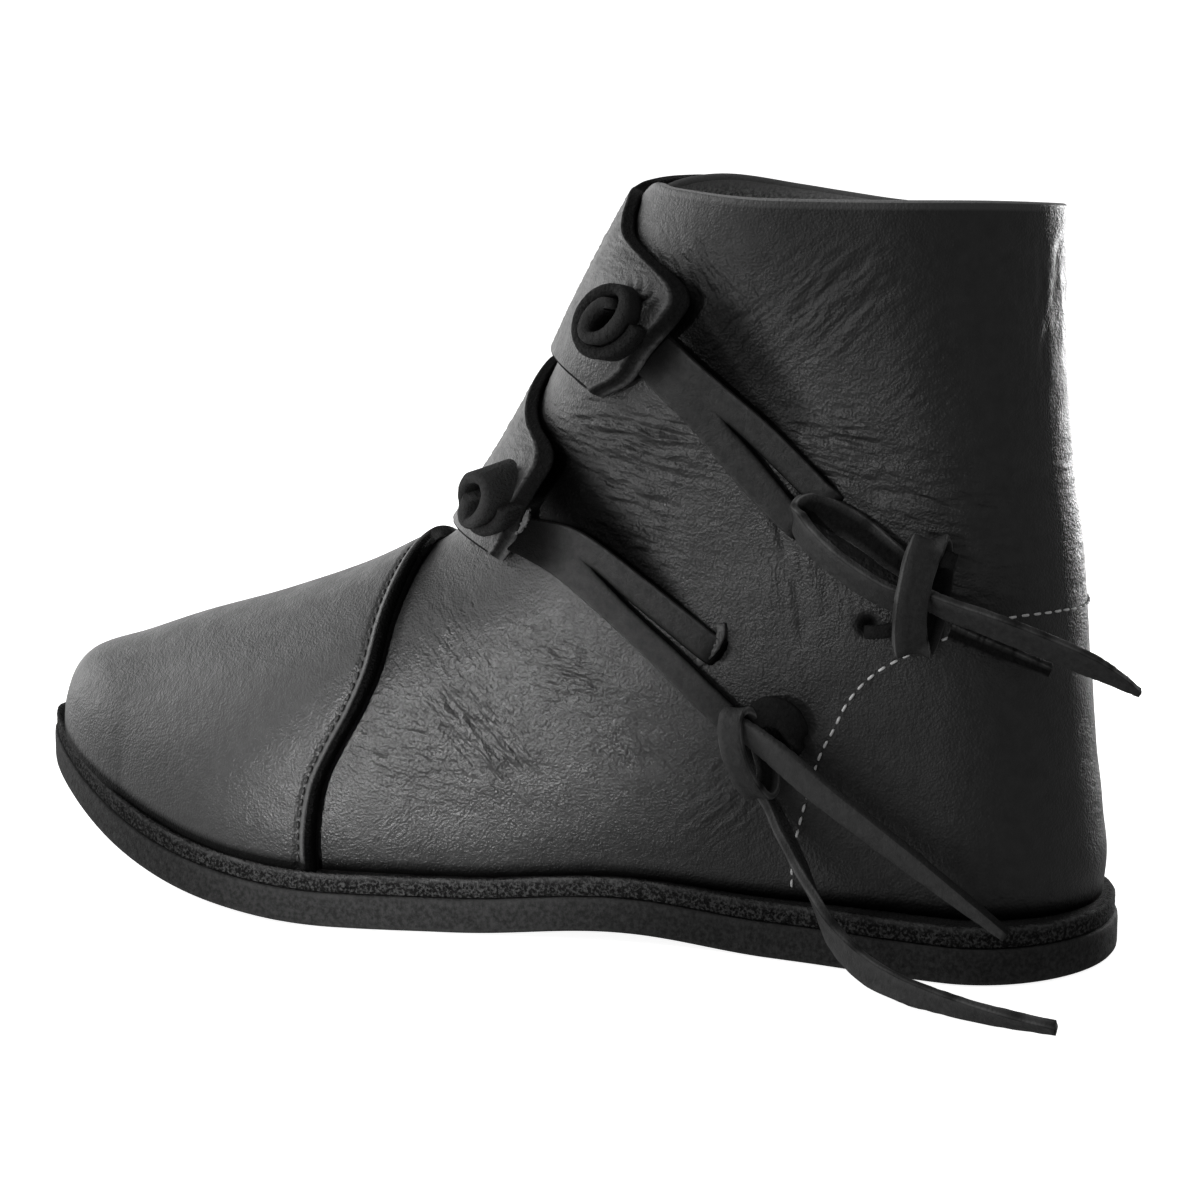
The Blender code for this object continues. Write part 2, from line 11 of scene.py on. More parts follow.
import bmesh
import bpy
import numpy as np
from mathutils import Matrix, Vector


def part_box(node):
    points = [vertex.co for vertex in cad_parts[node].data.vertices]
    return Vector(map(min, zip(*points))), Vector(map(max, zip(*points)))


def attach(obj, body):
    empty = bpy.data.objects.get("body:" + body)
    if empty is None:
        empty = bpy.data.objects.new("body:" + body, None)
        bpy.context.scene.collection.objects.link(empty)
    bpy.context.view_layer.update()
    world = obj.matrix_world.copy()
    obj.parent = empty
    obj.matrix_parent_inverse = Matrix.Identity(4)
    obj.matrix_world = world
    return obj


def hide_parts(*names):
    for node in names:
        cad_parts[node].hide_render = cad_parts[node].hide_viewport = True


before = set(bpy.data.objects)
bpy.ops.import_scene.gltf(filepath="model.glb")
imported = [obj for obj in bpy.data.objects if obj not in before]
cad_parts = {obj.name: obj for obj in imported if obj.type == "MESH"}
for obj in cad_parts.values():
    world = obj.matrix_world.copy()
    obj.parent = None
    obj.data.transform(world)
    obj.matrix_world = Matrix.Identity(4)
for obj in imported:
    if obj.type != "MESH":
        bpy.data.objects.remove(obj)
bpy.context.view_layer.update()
MM = 0.001

# Main sizes of the solids
LENGTH = 290.0
COLLAR_HEIGHT = 180.0
OUTSOLE_THICK = 8.6
MIDSOLE_THICK = 4.6
INSOLE_THICK = 3.0
WALL = 2.2
CLEARANCE = 0.3
TOE_SPRING = 24.9
SPRING_START = 186.0
ARCH_RISE = 2.2
ARCH_START = 78.0
ARCH_END = 158.0
TOE_SWING = -12.0
SWING_START = 170.0
SOLE_TOP = OUTSOLE_THICK + MIDSOLE_THICK + CLEARANCE
FEATHER = SOLE_TOP + CLEARANCE
SOLE_HEEL_ROUND = 34.0
SOLE_TOE_ROUND = 70.0
MIDSOLE_INSET = 0.7
TOE_POWER = 2.2
TOE_ROOT = 1.8

# Half widths of the sole at stations along the foot
SOLE_COLUMNS = ("station", "outer", "inner")
SOLE_ROWS = [
    (0, 38, 35),
    (35, 39.3, 36),
    (70, 34.4, 33.4),
    (105, 31.8, 31),
    (150, 37.5, 37),
    (205, 45.7, 47),
    (250, 39.5, 41),
    (290, 27.5, 28.5),
]

# Side of each layer of the sole from below: inset, height and share of wear
OUTSOLE_PROFILE = [
    (1, 0, 0.3), (0.5, 0.2, 0.5), (0.12, 0.7, 0.6), (0, 1.5, 0.1), (0, 3, 0), (0, 5, 0),
    (0, 7, 0.1), (0.1, 8.1, 0.5), (0.5, 8.6, 0.7), (1.6, 8.6, 0),
]
MIDSOLE_PROFILE = [
    (0.4, 8.9, 0), (0.05, 9.1, 0), (0, 9.6, 0.1), (0.1, 10.3, 0.1), (0, 11, 0.1), (0.1, 11.7, 0.1),
    (0, 12.4, 0.3), (0.05, 12.9, 0.7), (0.2, 13.3, 1), (0.5, 13.5, 0.8), (1.6, 13.5, 0),
]

# Points round each layer of the sole, and the roughness of its side
OUTSOLE_COLUMNS = 600
MIDSOLE_COLUMNS = 1100
OUTSOLE_ROUGH = 0.02
MIDSOLE_ROUGH = 0.2

# Insole: steps along and across it, hollow for the foot, rounding and width of its edge
INSOLE_STEPS = 120
INSOLE_ACROSS = 31
INSOLE_HOLLOW = 0.8
INSOLE_ROUND = 0.9
INSOLE_EDGE = 0.07

# Rings of the upper: back and front station, half widths along the foot, length of the rounded ends
LEVEL_COLUMNS = (
    "level", "back", "front", "heel", "waist", "instep", "ball", "toe", "toe_round", "heel_round",
)
LEVEL_ROWS = [
    (13.5, 3.8, 282, 32.5, 28.8, 34.8, 41.5, 36, 72, 34),
    (22, 3.2, 281, 33.8, 31, 37, 43, 36.5, 72, 34),
    (34, 4.4, 275.2, 34, 32.8, 38, 42.6, 36, 74, 33),
    (46, 5.8, 259, 33, 33.2, 37.8, 41.2, 35, 76, 32),
    (60, 7.2, 237.5, 31.8, 33.2, 37, 39.6, 34, 80, 31),
    (72, 8.3, 213.5, 31, 33.2, 36, 38.2, 33, 77, 30),
    (86, 9.6, 183, 30.4, 33.2, 35, 37, 32, 68, 29),
    (94, 10.4, 169, 30.2, 33.2, 34.5, 36, 31, 60, 29),
    (104, 11.6, 161, 30.4, 33.4, 34.3, 35, 30, 55, 30),
    (118, 13.4, 151.6, 31.4, 34.2, 34.4, 34.5, 30, 51, 32),
    (134, 14.9, 142.6, 33, 35.2, 34.8, 34.5, 30, 49, 34),
    (156, 16.1, 131, 35, 36.6, 35.6, 35, 30, 47, 37),
    (186, 17, 114, 37, 38, 36.5, 36, 30, 46, 40),
]
WIDTH_STATIONS = (30.0, 100.0, 150.0, 205.0, 250.0)

# Collar edge round the ring
COLLAR_COLUMNS = ("angle", "height")
COLLAR_ROWS = [
    (0, 178.7),
    (45, 180.2),
    (90, 180.3),
    (140, 180.8),
    (158, 180.9),
    (166, 178.6),
    (173, 176.8),
    (182, 177.4),
    (195, 180.4),
    (215, 182.6),
    (245, 181),
    (275, 177.6),
    (315, 175.4),
    (360, 178.7),
]

# Toe cap: station of its rear edge at each level
CAP_COLUMNS = ("level", "edge")
CAP_ROWS = [
    (13.5, 190.5),
    (29, 189.1),
    (36, 187.7),
    (45, 183.8),
    (54, 178.8),
    (64, 174.8),
    (75, 173.3),
    (96, 171),
]
CAP_TOP = 91.4
CAP_THICK = 2.5
CAP_SEAT = 0.3
CAP_BOTTOM = CLEARANCE + CAP_SEAT
CAP_SLANT = 0.92
CAP_MESH_ROWS = 110
CAP_MESH_HALF = 120

# Rear edge of the cap, measured in from the edge: the seam, the height, middle and half width of the bead
# and the groove, the painted highlight on the roll's lit side, and the end of the dark band of painted
# shade on the rolled edge with the length of its fading
CAP_SEAM = 4.2
CAP_BEAD = 0.45
CAP_BEAD_AT = (1.7, 1.5)
CAP_GROOVE = 0.55
CAP_GROOVE_AT = (CAP_SEAM, 0.7)
CAP_PAINTED_HIGHLIGHT_AT = (3.2, 0.5)
CAP_DARK_EDGE = (3.0, 0.8)

# Closing flaps: free edge from the top, down the outer side to the lower corner; how far it lifts, and
# how far it turns on round the front, in degrees
FLAP_UPPER_ROWS = [
    (130, 182.6, 0.1, 34),
    (130, 181.8, 0.1, 12),
    (117, 179, 0.2, 0),
    (116.3, 174.6, 0.3, 0),
    (114.5, 170.5, 0.6, 0),
    (107.5, 165.5, 1.8, 0),
    (101.3, 161, 4, 0),
    (99.6, 157, 5.4, 0),
    (102, 152.5, 5.6, 0),
    (108.7, 144, 4.4, 0),
    (113.2, 137, 2.8, 0),
    (120.3, 132.5, 1.4, 0),
]
FLAP_LOWER_ROWS = [
    (150, 139.8, 0.1, 20),
    (144, 137.6, 0.1, 0),
    (142.4, 133, 0.3, 0),
    (141.6, 128.6, 0.6, 0),
    (138.6, 124.2, 1.6, 0),
    (134.2, 120.2, 3.4, 0),
    (133.6, 116, 5, 0),
    (137.5, 109.5, 5.4, 0),
    (141.6, 102, 4.2, 0),
    (143.4, 95.4, 2.6, 0),
    (146, 91.2, 1.4, 0),
]
FLAP_ROOT_ANGLE = 240.0
FLAP_UPPER_ROOT = (179.6, 142.0)
FLAP_LOWER_ROOT = (137.0, 98.0)
FLAP_THICK = 2.4
FLAP_SHOWN_THICK = 2.7
FLAP_CUT_WIDE = 2.2
FLAP_CUT_FALL = 2.2
FLAP_SWEEP = 4.0
FLAP_RAMP = 0.3
FLAP_REACH = 70.0
FLAP_LIFT_REACH = 18.0
FLAP_SHIFT = 0.8
FLAP_GROUND = 0.25
FLAP_OVER_COLLAR = 0.9
TAB_START = 7.4
RIM_CHANGE = 150.0

# Wrinkles on a flap's tab: distance between lines, depth and share of painted shade in them
TAB_LINE_PITCH = 1.9
TAB_LINE_DEPTH = 1.1
TAB_LINE_SHADE = 0.9

# Mesh of a flap: steps from each end of its free edge, and steps in from that edge
FLAP_EDGE_LONG = 60.0
FLAP_END_STEPS = np.array([0, 0.25, 0.6, 1.1, 1.8])
FLAP_BEVEL_STEPS = [0, 0.3, 0.7, 1.2, 1.7, 2.1, 2.3, 2.55, 2.9]
FLAP_NEAR_STEPS = np.linspace(3.4, 26, 52)
FLAP_FAR_STEPS = np.linspace(27.5, FLAP_REACH, 28)

# Rolled toggles: station and height of the foot, lean forward and up per unit sideways
TOGGLE_UPPER = {
    "foot": (112.8, 150.8), "lean": (0.18, 0.15), "long": 13.0, "turns": 1.85, "start": 1.3,
    "strip": 2.9, "core": 0.5, "oval": 1.6,
}
TOGGLE_LOWER = {
    "foot": (143.0, 108.2), "lean": (0.55, -0.18), "long": 12.5, "turns": 1.55, "start": 3.2,
    "strip": 3.0, "core": 0.8, "oval": 2.1,
}
TOGGLE_GAP = 0.2
TOGGLE_GRIT = 0.1
TOGGLE_TALL = 1.28
TOGGLE_STAND = 0.5

# Strands of the split thongs: lower and upper edge line on the outer side, lift off the leather, and
# how far the slit between the two strands is open
STRAND_COLUMNS = ("low_s", "low_z", "top_s", "top_z", "lift", "split")
UPPER_TOP_STRAND = [
    (113, 151, 109.5, 155.4, 1.6, 0),
    (102.2, 141.2, 98.4, 145.8, 2.4, 0),
    (91.4, 132, 87.8, 136.9, 2, 0),
    (81.2, 122.6, 77.4, 128, 1.6, 1),
    (71.2, 112.8, 67.4, 118, 1, 1),
    (66.6, 108.4, 62.8, 113.4, 0.4, 1),
    (64.4, 106.4, 60.6, 111.4, -2.4, 1),
]
UPPER_LOW_STRAND = [
    (116.5, 146.8, 113, 151, 1.6, 0),
    (106, 136.4, 102.2, 141.2, 2.2, 0),
    (96.4, 127, 91.4, 132, 1.6, 0),
    (86.8, 115.2, 81.8, 121.8, 0.9, 1),
    (78.9, 106.8, 73.4, 111.6, 0.4, 1),
    (74.6, 102.8, 69.4, 107.8, 0.1, 1),
    (72.4, 100.8, 67.4, 105.8, -2.4, 1),
]
LOWER_TOP_STRAND = [
    (148, 99.4, 147.6, 104.6, 1.2, 0),
    (138.4, 97.6, 137.6, 102.8, 2, 0),
    (125, 95.2, 124, 101.1, 1.8, 0),
    (110.6, 84.2, 107.6, 90.4, 1.4, 1),
    (95.4, 72.4, 91.6, 78.4, 0.5, 1),
    (92, 69.8, 88.2, 75.8, -2.4, 1),
]
LOWER_LOW_STRAND = [
    (148.4, 94.6, 148, 99.4, 1.2, 0),
    (139, 93, 138.4, 97.6, 1.8, 0),
    (128.2, 88.4, 125, 95.2, 1.2, 0),
    (113.2, 76.2, 111.4, 83.2, 0.6, 1),
    (102.2, 66.6, 97.6, 71.8, 1.2, 1),
    (91.4, 57, 86.8, 62.2, 1.6, 1),
    (87.4, 54.6, 83.4, 59.4, 1.4, 1),
]
# Painted shadow on the straps where they come out under the tabs: station, height and radius
STRAP_ROOT_SHADOWS = [(141.0, 99.0, 14.0), (108.0, 148.0, 11.0)]
STRAP_THICK = 2.0
CORD_THICK = 2.4
STRAND_WIDE = 6.6
STRAND_ACROSS = [0, 0.12, 0.3, 0.6, 1.1, 2.2, 3.3, 4.4, 5.5, 6.0, 6.3, 6.48, 6.6]

# Steps along the strands, loose ends, wraps, stubs, lips and toggle strips
STRAND_STEPS = 150
CORD_STEPS = 110
WRAP_STEPS = 72
STUB_STEPS = 50
LIP_STEPS = 60
TOGGLE_STEPS = 230

# Loose ends and knots: sideways, station, height, roll of the strap about its run, and width
ROUTE_COLUMNS = ("sideways", "station", "height", "roll", "wide")
BOW_UPPER = [
    (36.5, 43, 88, -25, 6.2),
    (38.9, 52, 91.6, -32, 6.4),
    (40.3, 62, 98.2, -32, 6.6),
    (39.6, 68.4, 103.8, -20, 6.8),
    (37, 71, 107.8, 0, 7),
    (34.6, 67.4, 109.4, 0, 7.2),
    (34.2, 58, 105, 0, 7.2),
    (35.1, 50, 99.6, 0, 6.4),
    (36.2, 43.2, 95.2, 0, 5.4),
]
TAIL_UPPER_LONG = [
    (36.1, 41.2, 90, 25, 5.2),
    (37.3, 36, 88.2, 30, 5.8),
    (37.1, 24.6, 84.6, 30, 6.4),
    (33.7, 8, 78, 30, 6.2),
    (31.3, -0.5, 73.8, 25, 4.2),
    (29.1, -6.7, 69.8, 20, 1.4),
]
TAIL_UPPER_SHORT = [
    (34.7, 35.6, 82.8, 25, 4.6),
    (34.7, 31, 81, 25, 4.4),
    (34.3, 25, 78.8, 25, 4.2),
    (32.5, 13, 74.4, 25, 2.6),
]
TAIL_LOWER_BACK = [
    (38.2, 85.2, 57.8, 10, 4.8),
    (39.7, 79.6, 55, 10, 5.6),
    (40.4, 72.6, 50.2, 10, 6.4),
    (40.6, 63, 43, 12, 6.6),
    (42.3, 40, 28, 15, 5.6),
    (46, 19.3, 15.2, 10, 2.6),
]
TAIL_LOWER_FLOOR = [
    (36.2, 79.4, 41.6, 90, 4.6),
    (36.4, 76.4, 37.4, 90, 4.8),
    (37.2, 73.6, 32.6, 85, 5.2),
    (39, 69.6, 26, 65, 5.6),
    (43, 64.4, 18.6, 35, 6.2),
    (48.4, 58.4, 11.8, 12, 6.8),
    (54.4, 50.2, 7, 0, 6.6),
    (59.6, 40.6, 4.8, 0, 6),
    (63, 32, 4, 10, 5.4),
    (65.6, 23.4, 3.4, 20, 4.8),
    (67.4, 14, 2.9, 35, 4.2),
    (68.6, 4.6, 2.5, 45, 3.2),
]
# Wraps of the knots: middle, reach sideways, reach along the foot at the front and at the top, reach up
RING_UPPER = {
    "middle": (36.8, 41.9, 90.6), "reach": (4.4, 1.6, -1.6, 12.4), "run": (0.65, 1, 0), "wide": 8.2,
}
RING_LOWER = {
    "middle": (39.0, 81.6, 51.4), "reach": (3.4, 2.8, 3.0, 9.6), "run": (-0.1, 1, -0.1), "wide": 5.9,
}
# Small loop and stubs at the knots, with the columns of the loose ends
LOOP_LOWER = [
    (36.6, 81.5, 56, 0, 5),
    (37.4, 80, 59.8, 0, 6.4),
    (37.9, 76.6, 61.4, 0, 7.4),
    (37.6, 73, 60, 0, 7),
    (36.6, 70.8, 56, 0, 6),
    (35.6, 70.6, 52, 0, 5),
]
STUB_UPPER = [
    (36.2, 39, 99.6, 0, 4.4),
    (36.8, 37, 99.6, 0, 4.2),
    (36.4, 34.6, 98.8, 0, 3.6),
]
STUB_HOLE = [
    (33, 55.2, 80.8, 0, 3.2),
    (35, 53.6, 81.2, 0, 3.2),
    (35.8, 50.6, 81.8, 0, 3.2),
    (35.8, 46.6, 83, 0, 3.2),
]
STUB_TONE = 0.04

# Lines on the outer side: a frayed bit beside the lower tab and the lip of the lower thong's slot
LINE_COLUMNS = ("station", "height")
TAB_FRAY = [(137.4, 105.6), (138.4, 102.2), (140.4, 98.4)]
SLOT_LIP = [(90.2, 80.8), (90.0, 78.6), (91.0, 75.8), (93.2, 73.0), (96.2, 70.6)]
# Height above the leather, width and thickness of the lip and the frayed bit, and their shares of wear
SLOT_LIP_SIZE = (0.9, 2.2, 2.0)
TAB_FRAY_SIZE = (4.0, 3.2, 0.9)
SLOT_LIP_WEAR = 0.5
TAB_FRAY_WEAR = 0.8

# Fine crinkles in the leather's bump: their cell in metres, depth, and lean of each direction
CRINKLE_CELL = (0.0062, 0.0062, 0.0017)
CRINKLE_DEPTH = 1.12
CRINKLE_LEANS = (
    ("crinkle_level", -14.0), ("crinkle_down", -48.0), ("crinkle_up", 40.0), ("crinkle_steep", -84.0),
)
# Ripple depth with full crinkles, their largest share, and their reach against that of the ripples
CRINKLE_FULL = 0.45
CRINKLE_MOST = 1.2
CRINKLE_LONG = 1.2
CRINKLE_WIDE = 1.3

# Wrinkled patches on each side: station and height of the middle, half lengths along and across, lean
# of the lines up to the back, how much they fan out, distance between lines and depth before the gain
RIPPLE_GAIN = 1.35
OUTER_RIPPLES = [
    (114, 124, 20, 7, -8, 0.35, 2.5, 0.85),
    (120, 114, 15, 6, -20, 0.35, 2.6, 0.80),
    (112, 104, 14, 7, -28, 0.20, 2.6, 0.40),
    (64, 157, 15, 11, 40, 0.10, 2.5, 0.30),
    (84, 152, 12, 8, 20, 0.20, 2.5, 0.18),
    (99, 167, 13, 7, -52, 0.20, 2.6, 0.30),
    (88, 160, 12, 6, -46, 0.20, 2.4, 0.24),
    (62, 125, 13, 9, -10, 0.30, 2.5, 0.42),
    (36, 116, 20, 10, -6, 0.15, 2.6, 0.36),
    (34, 98, 20, 8, -8, 0.15, 2.6, 0.28),
    (40, 140, 18, 12, 14, 0.15, 2.7, 0.18),
    (74, 94, 17, 6, -80, 0.20, 2.5, 0.18),
    (60, 92, 16, 8, -70, 0.20, 2.6, 0.12),
    (149, 51, 17, 8, -44, 0.15, 2.5, 0.50),
    (168, 53, 11, 6, -8, 0.20, 2.6, 0.26),
    (128, 68, 13, 7, -24, 0.10, 2.6, 0.45),
    (156, 72, 12, 7, -50, 0.15, 2.7, 0.26),
    (168, 44, 14, 7, -18, 0.15, 2.6, 0.34),
    (88, 38, 13, 8, 58, 0.20, 2.6, 0.36),
    (112, 50, 14, 10, -40, 0.20, 2.8, 0.26),
    (15, 160, 20, 7, 86, 0.10, 2.3, 0.34),
]
INNER_RIPPLES = [
    (120, 112, 22, 14, -20, 0.20, 3.2, 0.34),
    (70, 125, 20, 18, -6, 0.20, 3.1, 0.26),
    (140, 60, 18, 14, -55, 0.15, 3.2, 0.30),
    (60, 160, 16, 12, 35, 0.10, 2.8, 0.22),
]

# Single creases on the outer side: station and height of both ends, bow to one side, half width, depth
OUTER_CREASES = [
    (79, 107, 71, 76, 1.5, 1.3, 0.55),
    (76.2, 105, 68.5, 78, 1.4, 1.1, 0.40),
    (81.5, 104, 74.5, 82, 1.2, 1.1, 0.32),
    (162, 62, 139, 38.5, 1.6, 1.3, 0.40),
    (157, 63, 136, 42, -1.6, 1.2, 0.30),
    (164, 56, 144, 37.5, 1.2, 1.3, 0.28),
    (131, 127, 101, 121, -1.2, 1.3, 0.50),
    (131, 122, 100, 116, -1, 1.3, 0.46),
    (130, 117, 106, 108, 0.8, 1.3, 0.44),
    (76, 150, 52, 170, 1, 1.5, 0.36),
    (70, 146, 46, 164, 0.8, 1.4, 0.32),
    (68, 128, 40, 121, -1, 1.5, 0.36),
    (66, 118, 30, 111, -1.5, 1.5, 0.30),
]

# Small holes in the outer side, where the thongs go through, each painted dark inside as painted shade:
# station, height, radius and depth
PITS = [
    (55.6, 82, 2.4, 1.6),
    (68, 113.6, 4, 1.2),
    (74.6, 107.4, 3.6, 1.2),
    (91.6, 74.4, 3.2, 1.2),
    (78, 51, 6, 1.3),
]

# Painted shadow on the leather beside the raised tabs and straps: station, height, half width and share
PAINTED_TAB_SHADOWS = [
    [
        (137, 121, 5.5, 0.95), (128, 108, 9.5, 1.0), (118, 99, 8.5, 1.0), (107, 88.5, 5.0, 0.95),
        (95, 75.5, 3.0, 0.8),
    ],
    [(102, 158, 4.0, 0.85), (94, 146.5, 6.0, 0.95), (86, 136, 4.4, 0.9), (66, 113.5, 2.6, 0.75)],
    [(97, 160, 5.0, 0.5), (91, 150.5, 8.0, 0.8), (83, 140, 7.5, 0.78), (74, 130, 5.0, 0.5)],
]

# Seam of the heel counter on the outer side
COUNTER_SEAM = [
    (73.1, 15.6), (72.3, 26.2), (69.5, 38.7), (66.5, 49.5), (63, 57), (59.6, 64),
    (54.8, 69.7), (48.7, 74.1), (36.5, 80.4), (24.7, 84.6), (14.4, 85.2), (9.9, 84.6),
]

# Stitches: distance from one to the next, length and radius; how far they lift or sink, how far the
# cap's seam stays from its ends, and the sides and rings of one stitch's mesh
COUNTER_STITCH = (3.3, 2.1, 0.32)
COUNTER_STITCH_LIFT = 0.1
CAP_STITCH = (2.9, 2.0, 0.46)
CAP_STITCH_SUNK = 0.5
CAP_STITCH_ENDS = (1.5, 3.0)
STITCH_FLAT = 0.8
SEAM_STEPS = 200
CAP_SEAM_STEPS = 240
STITCH_MESH = (8, 7)

# Fineness of the upper's mesh, on the outer and the inner side and below and above a level
SPACING_LEVEL = 100.0
OUTER_COLUMNS = 262
INNER_COLUMNS = 78
FINE_FROM = 40.0
COARSE_ROWS = 22
FINE_ROWS = 218
INSIDE_ROWS = 34

# Rounded collar edge: its steps in degrees, and the rows of the mesh that are worn about it
RIM_TURNS = (30, 60, 90, 120, 150)
RIM_WORN_ROWS = (-2, 6)

# Heights where the relief of the upper starts and ends, with the length of its fading
RELIEF_FOOT = (16.0, 14.0)
RELIEF_TOP = (178.0, 10.0)

# Painted shadow above the sole's ledge: share, height above the feather edge and length of its fading
UPPER_FOOT_SHADE = (0.9, 4.6, 3.2)
CAP_FOOT_SHADE = (0.95, 4.8, 2.4)


def curve(xs, ys):
    """Smooth curve through pairs of values, as a function of the first of each pair."""
    xs = np.asarray(xs, float)
    ys = np.asarray(ys, float)
    slopes = np.gradient(ys, xs)

    def value(x):
        x = np.clip(x, xs[0], xs[-1])
        i = np.clip(np.searchsorted(xs, x) - 1, 0, len(xs) - 2)
        step = xs[i + 1] - xs[i]
        t = (x - xs[i]) / step
        start = ys[i] * (1 + 2 * t) * (1 - t) ** 2 + slopes[i] * step * t * (1 - t) ** 2
        end = ys[i + 1] * (3 - 2 * t) * t**2 - slopes[i + 1] * step * t**2 * (1 - t)
        return start + end

    return value


def columns(names, rows):
    """A curve for each column of a table after its first."""
    first = [row[0] for row in rows]
    return {name: curve(first, [row[i] for row in rows]) for i, name in enumerate(names) if i}


def row_curves(names, rows):
    """A curve for each column of a table, as a function of the row's number."""
    return {name: curve(range(len(rows)), [row[i] for row in rows]) for i, name in enumerate(names)}


SOLE = columns(SOLE_COLUMNS, SOLE_ROWS)
LEVEL = columns(LEVEL_COLUMNS, LEVEL_ROWS)
COLLAR = columns(COLLAR_COLUMNS, COLLAR_ROWS)
CAP = columns(CAP_COLUMNS, CAP_ROWS)
WIDTH_SHARES = [curve(WIDTH_STATIONS, row) for row in np.eye(len(WIDTH_STATIONS))]


def smooth(t):
    """Soft step from 0 to 1."""
    t = np.clip(t, 0, 1)
    return t * t * (3 - 2 * t)


def bell(x, middle, wide):
    """Bell curve of height one about a middle."""
    return np.exp(-(((x - middle) / wide) ** 2))


def unit(vector):
    """Vectors of the same directions and length one."""
    return vector / np.linalg.norm(vector, axis=-1, keepdims=True)


def noise(u, v, seed):
    """Smooth noise from -1 to 1 over two coordinates, one cell a unit."""
    table = np.random.default_rng(seed).uniform(-1, 1, (61, 67))
    i = np.floor(u).astype(int)
    j = np.floor(v).astype(int)
    a = smooth(u - i)
    b = smooth(v - j)
    low = table[i % 61, j % 67] * (1 - a) + table[(i + 1) % 61, j % 67] * a
    high = table[i % 61, (j + 1) % 67] * (1 - a) + table[(i + 1) % 61, (j + 1) % 67] * a
    return low * (1 - b) + high * b


def rise(s):
    """Lift of the whole boot above the floor at a station: arch, then toe spring."""
    arch = np.clip((s - ARCH_START) / (ARCH_END - ARCH_START), 0, 1)
    toe = np.clip((s - SPRING_START) / (LENGTH - SPRING_START), 0, 1)
    return ARCH_RISE * np.sin(math.pi * arch) ** 2 + TOE_SPRING * toe**2


def centre_line(s):
    """Sideways swing of the foot's middle line, towards the inner side at the toe."""
    return TOE_SWING * np.clip((s - SWING_START) / (LENGTH - SWING_START), 0, 1) ** 1.6


def round_ends(behind, ahead, heel_round, toe_round):
    """Share of the full width near a rounded back and front end."""
    heel = np.clip(behind / heel_round, 0, 1)
    toe = np.clip(ahead / toe_round, 0, 1)
    return np.sqrt(1 - (1 - heel) ** 2) * (1 - (1 - toe) ** TOE_POWER) ** (1 / TOE_ROOT)


def sole_edges(s, inset=0.0):
    """Outer and inner edge of the sole at a station."""
    share = round_ends(s - inset, LENGTH - inset - s, SOLE_HEEL_ROUND, SOLE_TOE_ROUND)
    middle = centre_line(s)
    return middle + (SOLE["outer"](s) - inset) * share, middle - (SOLE["inner"](s) - inset) * share


MIDDLE_X = np.max(sole_edges(np.linspace(0, LENGTH, 2901))[0]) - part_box("outsole")[1].x / MM


def place(x, s, z):
    """Points of the part, in millimetres, from the foot's own sideways, station and height."""
    return np.stack(np.broadcast_arrays(x - MIDDLE_X, LENGTH / 2 - s, z), axis=-1).astype(float)


def ring(level, angle):
    """Point of the upper's outer face at a level and an angle in degrees."""
    turn = np.radians(angle)
    back = LEVEL["back"](level)
    front = LEVEL["front"](level)
    s = (back + front) / 2 - (front - back) / 2 * np.cos(turn)
    names = LEVEL_COLUMNS[3:8]
    full = sum(share(s) * LEVEL[name](level) for share, name in zip(WIDTH_SHARES, names))
    ends = round_ends(s - back, front - s, LEVEL["heel_round"](level), LEVEL["toe_round"](level))
    return place(centre_line(s) + full * ends * np.sign(np.sin(turn)), s, level + rise(s))


def face(level, angle, offset=0.0):
    """Point at an offset out from the upper's outer face."""
    level, angle = np.broadcast_arrays(np.asarray(level, float), np.asarray(angle, float))
    up = ring(level + 0.2, angle) - ring(level - 0.2, angle)
    along = ring(level, angle + 0.4) - ring(level, angle - 0.4)
    return ring(level, angle) + np.asarray(offset)[..., None] * unit(np.cross(up, along))


def flat_face(level, angle, offset):
    """Point at an offset from the upper's outer face that stays on its own level."""
    level, angle = np.broadcast_arrays(np.asarray(level, float), np.asarray(angle, float))
    along = ring(level, angle + 0.4) - ring(level, angle - 0.4)
    normal = np.stack([-along[..., 1], along[..., 0], np.zeros_like(level)], axis=-1)
    points = ring(level, angle) + offset * unit(normal)
    points[..., 2] = level + rise(LENGTH / 2 - points[..., 1])
    return points


def angle_at(level, s):
    """Angle of the outer side's point at a station."""
    back = LEVEL["back"](level)
    front = LEVEL["front"](level)
    return np.degrees(np.arccos(np.clip(((back + front) / 2 - s) / ((front - back) / 2), -1, 1)))


def on_side(s, z):
    """Level and angle of a place on the outer side, from its station and height."""
    level = z - rise(s)
    return level, angle_at(level, s)


def collar_level(level, angle):
    """Level raised or lowered towards the collar's own edge line."""
    share = np.clip((level - FEATHER) / (COLLAR_HEIGHT - FEATHER), 0, None) ** 3
    return level + (COLLAR["height"](np.mod(angle, 360)) - COLLAR_HEIGHT) * share


def patch_axes(s, z, s0, z0, lean):
    """Distances from the middle of a wrinkled patch, along and across its lines."""
    turn = math.radians(lean)
    along = (s0 - s) * math.cos(turn) + (z - z0) * math.sin(turn)
    across = (s - s0) * math.sin(turn) + (z - z0) * math.cos(turn)
    return along, across


def ripples(s, z, rows, seed):
    """Depth of patches of fine parallel wrinkles."""
    total = np.zeros_like(s)
    for i, (s0, z0, long, wide, lean, fan, pitch, depth) in enumerate(rows):
        along, across = patch_axes(s, z, s0, z0, lean)
        line = across / (1 + fan * np.clip(along / long, -1.5, 1.5))
        line = line + 0.55 * pitch * noise(along / 8 + 40, across / 3.5 + 40, seed + i)
        wave = (0.5 + 0.5 * np.cos(2 * math.pi * line / pitch)) ** 1.6
        broken = np.clip(0.65 + 0.6 * noise(along / 6 + 40, line / pitch + 40, seed + i + 50), 0, 1)
        patch = np.exp(-((along / long) ** 2) - (across / wide) ** 2)
        total -= RIPPLE_GAIN * depth * wave * broken * patch
    return total


